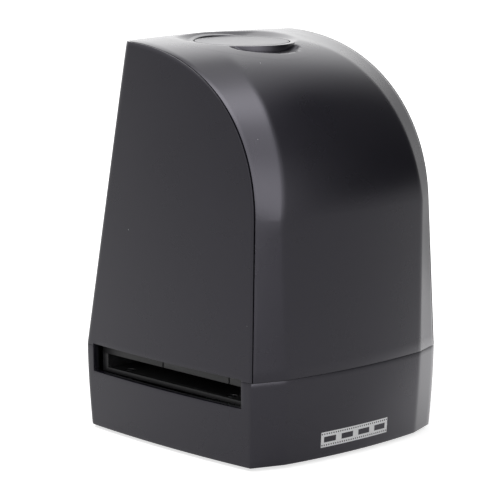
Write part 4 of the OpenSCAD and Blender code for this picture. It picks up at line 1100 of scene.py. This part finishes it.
@dataclass
class RearHousing:
    """Both sides and the back in one shell, with a thin lip around the hood."""

    finishes: FinishShelf
    hood: FrontHood
    low_z: float = 30.3
    side_steps: tuple[int, int, int] = (4, 34, 3)
    back_steps: tuple[int, int] = (6, 18)
    rows: int = 64
    split: float = 0.44
    mouth_gap: float = 0.3
    mouth_depth: float = 16.0
    rim_r: float = 0.22
    room_high: float = 12.0

    def side_sheet(self, s: Array, t: Array) -> Array:
        """Returns places on a side wall, blended between its four edges.

        Args:
            s: Share of the way from the front edge to the back corner.
            t: Share of the way from the slot's height to the top.

        Returns:
            The places, as rows of (y, z).
        """
        v, points, length = FORM.edge_table()
        start = np.interp(self.low_z, points[:, 1], length)
        turn = np.interp(self.split, v, length)
        end = length[np.argmax(points[:, 0] >= FORM.back_at(points[:, 1]) - FORM.back_corner_r)]

        def at(distance: Numbers) -> Array:
            """Returns the profile's points at running lengths."""
            return np.stack([np.interp(distance, length, points[:, i]) for i in (0, 1)], axis=-1)

        stops = (at(start)[0], FORM.slot_front, FORM.slot_back, FORM.back_at(self.low_z) - FORM.back_corner_r)
        knots = np.cumsum((0, *self.side_steps)) / sum(self.side_steps)
        corner_low = np.array([stops[-1], self.low_z])
        corner_high = at(end)
        s2, t2 = s[:, None], t[:, None]
        bottom = np.stack([np.interp(s, knots, stops), np.full_like(s, self.low_z)], axis=-1)
        top = at(turn + s * (end - turn))
        left = at(start + t * (turn - start))
        right = corner_low + (corner_high - corner_low) * t2
        corners = ((1 - s2) * ((1 - t2) * at(start) + t2 * at(turn))
                   + s2 * ((1 - t2) * corner_low + t2 * corner_high))
        return (1 - t2) * bottom + t2 * top + (1 - s2) * left + s2 * right - corners

    def half_place(self, column: Array, row: Array) -> Array:
        """Returns points of the right half, from the front edge to the middle of the back.

        Args:
            column: Column number within the half.
            row: Row number, 0 on the seam and 1 at the slot's upper edge.

        Returns:
            Points in millimetres.
        """
        t = np.clip(row - 1, 0, self.rows) / self.rows
        total = sum(self.side_steps)
        step = column - total
        behind = step > 0
        side = self.side_sheet(np.clip(column / total, 0, 1), t)
        radius = FORM.back_corner_r
        flat_top = FORM.half_at(FORM.top_z) - radius
        at_top, _ = FORM.round_back(step, self.back_steps, flat_top, 0.0, radius, 0.0)
        beyond = FORM.back_line(at_top, FORM.top_z, 0.0) - FORM.back_edge_y
        top = FORM.top_z + FORM.skin_rise(1.0, FORM.top_z, at_top) * behind + beyond * FORM.top_slope
        z = np.where(behind, self.low_z + (top - self.low_z) * t, side[:, 1])
        z = np.where(row == 0, FORM.seam_z, z)
        y_end = FORM.back_at(z) - radius
        bulge = FORM.side_bulge(y_end, z, FORM.back_at(z))
        flat = FORM.half_at(z) - radius
        back_x, back_y = FORM.round_back(step, self.back_steps, flat, y_end, radius, bulge)
        side_x = FORM.half_at(z) + FORM.side_bulge(side[:, 0], z, FORM.back_at(z))
        return np.stack([np.where(behind, back_x, side_x), np.where(behind, back_y, side[:, 0]), z], axis=1)

    def socket_mouth(self) -> Object:
        """Makes the block that opens the back wall around the data socket.

        Returns:
            The block.
        """
        low, high = (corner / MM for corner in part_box("usb_socket"))
        gap = 2 * self.mouth_gap
        Bench.clear()
        bpy.ops.mesh.primitive_cube_add(
            size=1.0, location=Vector((0, high.y, (low.z + high.z) / 2)) * MM,
            scale=Vector((high.x - low.x + gap, self.mouth_depth, high.z - low.z + gap)) * MM)
        return Bench.settle(Bench.added("socket_mouth"))

    def build(self) -> Object:
        """Models the rear housing.

        Returns:
            The rear housing.
        """
        half = sum(self.side_steps) + sum(self.back_steps)
        shell = Bench.mirrored_grid("rear_housing_shell", half, self.rows + 1, self.half_place)
        Bench.outward(shell, (0.0, -20.0, 70.0))
        Bench.remove(shell, lambda centre, _: centre.z < self.low_z - CLOSE and FORM.in_slot(centre))
        Bench.thicken(shell, FORM.wall)
        Bench.round_edges(shell, self.rim_r)
        inner = -(FORM.wall + FORM.panel_gap)
        Bench.cut(shell, self.hood.block("hood_room", FORM.lip, inner, self.room_high))
        Bench.cut(shell, self.socket_mouth())
        return self.finishes.dress(shell, "housing", ["rear_housing"])


# Base
@dataclass
class BaseHousing:
    """Base shell with a slot mouth in each side, its lower edge rounded."""

    finishes: FinishShelf
    slot_low: float = 20.6
    side_in: float = 0.8
    front_in: float = 1.4
    soft_in: float = 1.26
    back_in: float = 1.2
    facet_in: float = 1.0
    draw_power: float = 1.7
    facet_blend: float = 0.14
    edge_r: float = 0.5
    least_r: float = 0.8
    rim_r: float = 0.12
    seam_gap: float = 0.1
    front_shares: Sequence[float] = (0, .12, .24, .36, .48, .6, .7, .78, .85, .9, .94, .97, 1)
    facet_shares: Sequence[float] = (.08, .18, .3, .45, .62, .8, 1)
    side_steps: tuple[int, int, int] = (3, 30, 3)
    back_steps: tuple[int, int] = (6, 16)
    low_rows: int = 14
    mouth_rows: int = 6

    def drop(self, z: Numbers) -> Numbers:
        """Returns the share of the way from the seam down to the lower edge."""
        return (FORM.seam_z - z) / (FORM.seam_z - FORM.foot_stand)

    def draw(self, z: Numbers) -> Numbers:
        """Returns how far the walls have drawn in at height z, from 0 to 1."""
        return np.maximum(0.0, self.drop(z)) ** self.draw_power

    def soft_x(self, z: Numbers, inset: Numbers) -> Numbers:
        """Returns the place of the facets' front edge at height z."""
        mitre = math.tan(FORM.facet_angle / 2)
        return FORM.half_w - FORM.facet_w - self.facet_in * self.drop(z) - inset * mitre

    def corner_y(self, z: Numbers, inset: Numbers) -> Numbers:
        """Returns the place of the corner edge at height z."""
        mitre = (1 - math.sin(FORM.facet_angle)) / math.cos(FORM.facet_angle)
        return FORM.corner_y + self.front_in * self.draw(z) + inset * mitre

    def front_y(self, x: Array, z: Array, inset: Numbers = 0.0) -> Array:
        """Returns the place of the front wall's surface.

        Args:
            x: Place across the width.
            z: Height.
            inset: Distance inside the surface.

        Returns:
            The y of the surface.
        """
        half = FORM.half_w - self.side_in * self.draw(z) - inset
        corner = self.corner_y(z, inset)
        soft = self.soft_x(z, inset)
        depth = corner - (FORM.soft_y + self.soft_in * self.draw(z) + inset)
        across = np.abs(x)
        crown = depth + FORM.front_crown * (1 - (across / soft) ** 2)
        return corner - smooth_min(crown, depth * (half - across) / (half - soft), self.facet_blend)

    def half_place(self, column: Array, z: Array, inset: Array) -> Array:
        """Returns points of the right half, from the middle of the front to the middle of the back.

        Args:
            column: Column number within the half.
            z: Heights.
            inset: Distance inside the surface.

        Returns:
            Points in millimetres.
        """
        on_front, on_facet = spread(self.front_shares, self.facet_shares)
        corner = len(on_front) - 1
        front = np.clip(column, 0, corner)
        half = FORM.half_w - self.side_in * self.draw(z) - inset
        soft = self.soft_x(z, inset)
        front_x = soft * on_front[front] + (half - soft) * on_facet[front]
        back = FORM.back_y - self.back_in * self.draw(z) - inset
        radius = np.maximum(self.least_r, FORM.back_corner_r - inset)
        stops = (self.corner_y(z, inset), FORM.slot_front, FORM.slot_back, back - radius)
        side_y = stops[0]
        start = corner
        for low, high, steps in zip(stops, stops[1:], self.side_steps):
            side_y = side_y + (high - low) * np.clip((column - start) / steps, 0.0, 1.0)
            start += steps
        bulge = (side_y - stops[0]) * (back - side_y) / (2 * FORM.side_radius)
        back_x, back_y = FORM.round_back(column - start, self.back_steps, half - radius, back - radius,
                                         radius, bulge)
        parts = [column <= corner, column <= start]
        x = np.select(parts, [front_x, half + bulge], back_x)
        return np.stack([x, np.select(parts, [self.front_y(front_x, z, inset), side_y], back_y), z], axis=1)

    def build(self) -> Object:
        """Models the base.

        Returns:
            The base.
        """
        half = (len(self.front_shares) - 1 + len(self.facet_shares) + sum(self.side_steps)
                + sum(self.back_steps))
        turns = np.radians([0, 22.5, 45, 67.5])
        upper = [*np.linspace(FORM.foot_stand + self.edge_r, self.slot_low, self.low_rows),
                 *np.linspace(self.slot_low, FORM.seam_z - self.seam_gap, self.mouth_rows)[1:]]
        levels = np.array([*(FORM.foot_stand + self.edge_r * (1 - np.cos(turns))), *upper])
        insets = np.array([*(self.edge_r * (1 - np.sin(turns))), *np.zeros(len(upper))])
        base = Bench.mirrored_grid("base_housing_shell", half, len(levels) - 1,
                                   lambda column, row: self.half_place(column, levels[row], insets[row]))
        Bench.merge(base, 0.005)
        Bench.outward(base, (0.0, 0.0, 15.0))
        Bench.remove(base, lambda centre, _: centre.z > self.slot_low + CLOSE and FORM.in_slot(centre))
        Bench.thicken(base, FORM.wall)
        Bench.round_edges(base, self.rim_r)
        return self.finishes.dress(base, "housing", ["base_housing"])


@dataclass
class FilmPictogram:
    """White print on the base front: a film strip with perforations around blank frames."""

    finishes: FinishShelf
    base: BaseHousing
    middle_x: float = -0.9
    low_z: float = 4.6
    width: float = 31.0
    height: float = 5.2
    proud: float = 0.03
    ink: float = 0.027
    columns: int = 124
    rows: int = 22
    hole_rows: Sequence[int] = (2, 3, 18, 19)
    hole_columns: Sequence[int] = (1, 2)
    hole_pitch: int = 4
    frame_rows: Sequence[int] = range(7, 15)
    frame_columns: Sequence[int] = range(5, 26)
    frame_pitch: int = 31

    def is_hole(self, centre: Vector, _: Vector) -> bool:
        """Says whether a cell lies in a perforation or in a frame.

        Args:
            centre: Middle of the cell in millimetres.

        Returns:
            True in a hole of the print.
        """
        column = int((centre.x - self.middle_x + self.width / 2) * self.columns / self.width)
        row = int((centre.z - self.low_z) * self.rows / self.height)
        perforation = row in self.hole_rows and column % self.hole_pitch in self.hole_columns
        return perforation or (row in self.frame_rows and column % self.frame_pitch in self.frame_columns)

    def build(self) -> Object:
        """Models the print.

        Returns:
            The print.
        """
        def place(column: Array, row: Array) -> Array:
            """Lays a point just proud of the front."""
            x = self.middle_x - self.width / 2 + self.width * column / self.columns
            z = self.low_z + self.height * row / self.rows
            return np.stack([x, self.base.front_y(x, z) - self.proud, z], axis=1)

        sheet = Bench.grid("film_pictogram", self.columns, self.rows, place)
        Bench.outward(sheet, (0.0, 20.0, 7.0))
        Bench.remove(sheet, self.is_hole)
        Bench.thicken(sheet, self.ink)
        return self.finishes.dress(sheet, "housing", material=self.finishes.print_white)


# Button and carried-over nodes
@dataclass
class ScanButton:
    """Round button: a flat cap with a rounded rim, a skirt with a flange and a guide stem."""

    finishes: FinishShelf
    radius: float = 16.2
    button_y: float = 10.2
    top_z: float = 133.9
    tilt: float = 0.9
    rim_r: float = 0.2
    face_insets: Pair = (2.0, 6.0)
    cap_t: float = 1.8
    skirt_wall: float = 1.4
    stem_r: float = 3.0
    flange_low: float = 129.9
    flange_t: float = 0.75
    flange_r: float = 17.3
    flange_inside: float = 0.6
    corners: int = 144

    @staticmethod
    def extrude(height: float) -> None:
        """Extrudes the selected face upward by a height in millimetres."""
        bpy.ops.mesh.extrude_region_move(TRANSFORM_OT_translate={"value": (0, 0, height * MM)})

    def cap(self) -> Object:
        """Models the cap, hollow underneath around its stem.

        Returns:
            The cap.
        """
        stem_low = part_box("scan_button")[0].z / MM
        hollow_z = self.top_z - self.cap_t
        cap = Bench.cylinder("scan_button_cap", self.corners, self.radius, self.flange_low, self.top_z,
                             self.button_y)
        Bench.edit(Bench.settle(cap))
        Bench.pick(cap, lambda centre, normal: normal.z < -LEVEL)
        bpy.ops.mesh.inset(thickness=self.skirt_wall * MM)
        self.extrude(hollow_z - self.flange_low)
        bpy.ops.mesh.inset(thickness=(self.radius - self.skirt_wall - self.stem_r) * MM)
        self.extrude(stem_low - hollow_z)
        Bench.pick(cap, lambda centre, normal: normal.z > LEVEL and centre.z > self.top_z - 0.01)
        bpy.ops.transform.rotate(value=-math.radians(self.tilt), orient_axis="X",
                                 center_override=Vector((0, self.button_y, self.top_z)) * MM)
        for inset in self.face_insets:
            bpy.ops.mesh.inset(thickness=inset * MM)
        Bench.close_edit()
        Bench.round_edges(cap, self.rim_r, 3)
        return cap

    def build(self) -> Object:
        """Models the button.

        Returns:
            The button.
        """
        cap = self.cap()
        flange = Bench.cylinder("button_flange", self.corners, self.flange_r, self.flange_low,
                                self.flange_low + self.flange_t, self.button_y)
        Bench.edit(flange)
        Bench.pick(flange, lambda centre, normal: abs(normal.z) > LEVEL)
        bpy.ops.mesh.inset(thickness=(self.flange_r - self.radius + self.flange_inside) * MM)
        bpy.ops.mesh.bridge_edge_loops()
        Bench.close_edit()
        Bench.cut(cap, flange, "UNION")
        return self.finishes.dress(cap, "button_plastic", ["scan_button"], Body.BUTTON)


@dataclass
class CarriedNodes:
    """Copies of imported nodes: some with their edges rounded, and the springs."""

    finishes: FinishShelf
    nodes: dict[str, Object]
    record: dict
    rounded: dict[str, float] = field(default_factory=lambda: {
        "lower_film_guide": 0.12, "upper_film_guide": 0.12, "bottom_cover": 0.2, "rubber_feet": 0.15,
        "usb_socket": 0.08})
    pressed_by: dict[str, str] = field(default_factory=lambda: {
        "button_spring": "button_press", "detent_spring": "detent_press"})

    def __post_init__(self) -> None:
        """Looks up each node's slot."""
        self.slots = {part["node"]: part["material_slot"] for part in self.record["subparts"]}

    def trim(self) -> list[Object]:
        """Copies the nodes that show and rounds their edges.

        Returns:
            The new pieces.
        """
        made = []
        for name, width in self.rounded.items():
            copy = Bench.copy_node(self.nodes[name], name + "_trim", flatten=True)
            Bench.round_edges(copy, width, angle=50.0)
            made.append(self.finishes.dress(copy, self.slots[name], [name]))
        return made

    def coil(self) -> list[Object]:
        """Copies each spring, shades it smooth and dresses it.

        Returns:
            The new pieces.
        """
        made = []
        for name, joint in self.pressed_by.items():
            copy = Bench.copy_node(self.nodes[name], name + "_coil", flatten=False)
            self.finishes.dress(copy, self.slots[name], [name], angle=60.0)
            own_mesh(copy)
            made.append(copy)
        return made


# Studio
@dataclass
class Studio:
    """White sweep, soft lamp and the camera.

    The rings give the brightness of the surround in reflections, in evenly spaced directions
    counter-clockwise from the object's right, at four heights and straight above. The pool is a
    brighter part of the floor beside the object, as glossy rays see it.
    """

    camera_at: Triple = (-542.82, -580.3, 204.54)
    camera_to: Triple = (0.0, 0.0, 62.78)
    lens: float = 169.46
    sensor: float = 36.0
    shift: float = -0.02459
    lamp_at: Triple = (-250.0, 200.0, 900.0)
    lamp_size: float = 700.0
    lamp_power: float = 4.5
    low_ring: Sequence[float] = (.9, 2.0, 2.3, 2.0, 1.4, .7, .55, 1.4, 2.3, 2.8, 3.8, 4.8, 2.6, .3, 0, .1)
    middle_ring: Sequence[float] = (.3, 1.5, 2.8, 2.3, 2, 1.8, 1.8, 2.1, 2.6, 3.1, 3.7, 4.5, 2.2, .3, .1, .1)
    high_ring: Sequence[float] = (.6, 2.6, 2.2, 2.2, 2.1, 2.0, 2.1, 2.3, 2.6, 3.0, 3.2, 3.1, 1.6, .3, .2, .1)
    upper_ring: Sequence[float] = (1.2, 1.2, .3, .5, 1.5, 3.0, 4.5, 5.0, 4.5, 3.0, 3.0, 4.5, 2.0, .5, .1, .1)
    above: Sequence[float] = (2.3,) * 8
    ring_heights: Sequence[float] = (0.1, 0.4, 0.63, 0.8, 1.0)
    panel_to: Triple = (0.0, -0.2, 0.98)
    panel_reach: Pair = (24.0, 3.0)
    panel_level: float = 5.0
    room_level: float = 0.45
    floor_size: float = 14.0
    floor_grey: float = 0.82
    floor_fade: Pair = (0.2, 0.7)
    floor_lift: Pair = (0.72, 1.0)
    floor_glow: float = 0.33
    pool_at: Triple = (0.09, 0.0, 0.0)
    pool_scale: Triple = (0.5, 1.0, 1.0)
    pool_fade: Pair = (0.04, 0.12)
    pool_glow: float = 1.4

    def floor(self) -> None:
        """Lays the pale floor, which turns into the white surround away from the object."""
        Bench.clear()
        bpy.ops.mesh.primitive_plane_add(size=self.floor_size, location=(0, 0, 0))
        floor = Bench.added("studio_floor")
        material = bpy.data.materials.new("PaleFloor")
        n = Nodes.blank(material)
        rays = n.add("LightPath").outputs
        place = n.add("TexCoord").outputs["Object"]
        lift = n.ease(n.measure("LENGTH", place), self.floor_fade, self.floor_lift)
        squeezed = n.first("VectorMath", place, self.pool_scale, operation="MULTIPLY")
        glow = n.ease(n.measure("DISTANCE", squeezed, self.pool_at), self.pool_fade,
                      (self.floor_glow + self.pool_glow, self.floor_glow))
        bounced = n.math("MAXIMUM", rays["Is Glossy Ray"], rays["Is Transmission Ray"])
        power = n.math("MULTIPLY_ADD", bounced, glow, n.math("MULTIPLY", rays["Is Camera Ray"], lift))
        n.add("OutputMaterial", n.first(
            "BsdfPrincipled", Base_Color=(self.floor_grey,) * 3 + (1.0,), Roughness=0.9,
            Specular_IOR_Level=0.0, Emission_Color=WHITE, Emission_Strength=power))
        floor.data.materials.append(material)

    @staticmethod
    def ring(n: Nodes, turn: Socket, levels: Sequence[float]) -> Socket:
        """Adds a grey ramp around the compass.

        Args:
            n: Tree to add it to.
            turn: Direction as a share of a turn.
            levels: Brightness in evenly spaced directions, the first half a step from the start.

        Returns:
            The ramp's colour.
        """
        node = n.add("ValToRGB", turn)
        stops = node.color_ramp.elements
        for stop in (stops[0], stops[-1]):
            stop.color = ((levels[0] + levels[-1]) / 2,) * 3 + (1.0,)
        for i, level in enumerate(levels):
            stops.new((i + 0.5) / len(levels)).color = (level, level, level, 1.0)
        return node.outputs[0]

    def surround(self, n: Nodes) -> Socket:
        """Adds the surround that glossy rays see.

        Args:
            n: Tree to add it to.

        Returns:
            The background's output.
        """
        way = n.add("TexCoord").outputs["Generated"]
        split = n.add("SeparateXYZ", way).outputs
        angle = n.math("ARCTAN2", split["Y"], split["X"])
        turn = n.math("FRACT", n.math("MULTIPLY", angle, 0.5 / math.pi))
        level = self.ring(n, turn, self.low_ring)
        rings = (self.middle_ring, self.high_ring, self.upper_ring, self.above)
        for ring, start, end in zip(rings, self.ring_heights, self.ring_heights[1:]):
            rise = n.first("MapRange", split["Z"], start, end)
            level = n.mix(rise, level, self.ring(n, turn, ring))
        near = n.measure("DOT_PRODUCT", way, Vector(self.panel_to).normalized())
        panel = n.ease(near, tuple(math.cos(math.radians(reach)) for reach in self.panel_reach))
        lit = n.mix(panel, level, (self.panel_level,) * 3 + (1.0,), blend_type="ADD")
        return n.first("Background", lit, 1.0)

    def world(self) -> None:
        """Sets a white surround with soft panels in reflections."""
        world = bpy.data.worlds.new("WhiteSurround")
        bpy.context.scene.world = world
        n = Nodes.blank(world)
        rays = n.add("LightPath").outputs
        room = n.first("Background", WHITE, self.room_level)
        lit = n.first("MixShader", rays["Is Glossy Ray"], room, self.surround(n))
        direct = n.math("MAXIMUM", rays["Is Camera Ray"], rays["Is Transmission Ray"])
        n.add("OutputWorld", n.first("MixShader", direct, lit, n.first("Background", WHITE, 1.0)))

    def hang(self, name: str, data: bpy.types.ID, at: Triple) -> Object:
        """Places a lamp or the camera and aims it at the middle of the object.

        Args:
            name: Name of the object.
            data: Its lamp or camera data.
            at: Place in millimetres.

        Returns:
            The new object.
        """
        obj = bpy.data.objects.new(name, data)
        bpy.context.scene.collection.objects.link(obj)
        obj.location = Vector(at) * MM
        aim = Vector(self.camera_to) * MM - obj.location
        obj.rotation_euler = aim.to_track_quat("-Z", "Y").to_euler()
        return obj

    def build(self) -> None:
        """Builds the floor, the surround, the lamp and the camera."""
        bpy.context.scene.view_settings.view_transform = "Standard"
        self.floor()
        self.world()
        lamp = bpy.data.lights.new("overhead_soft", "AREA")
        lamp.shape = "SQUARE"
        lamp.size = self.lamp_size * MM
        lamp.energy = self.lamp_power
        self.hang("overhead_soft", lamp, self.lamp_at).visible_glossy = False
        camera = bpy.data.cameras.new("front_left_view")
        camera.lens = self.lens
        camera.sensor_width = self.sensor
        camera.shift_x = self.shift
        camera.clip_end = 50.0
        bpy.context.scene.camera = self.hang("front_left_view", camera, self.camera_at)


def main() -> None:
    """Builds every sub-assembly in order."""
    logging.basicConfig(level=logging.INFO, format="%(name)s: %(message)s")
    finishes = FinishShelf()
    finishes.dress_nodes(frame["nodes"], frame["record"])
    hood = FrontHood(finishes)
    hood.build()
    RearHousing(finishes, hood).build()
    base = BaseHousing(finishes)
    base.build()
    FilmPictogram(finishes, base).build()
    ScanButton(finishes).build()
    carried = CarriedNodes(finishes, frame["nodes"], frame["record"])
    carried.trim()
    carried.coil()
    Studio().build()


if __name__ == "__main__":
    main()
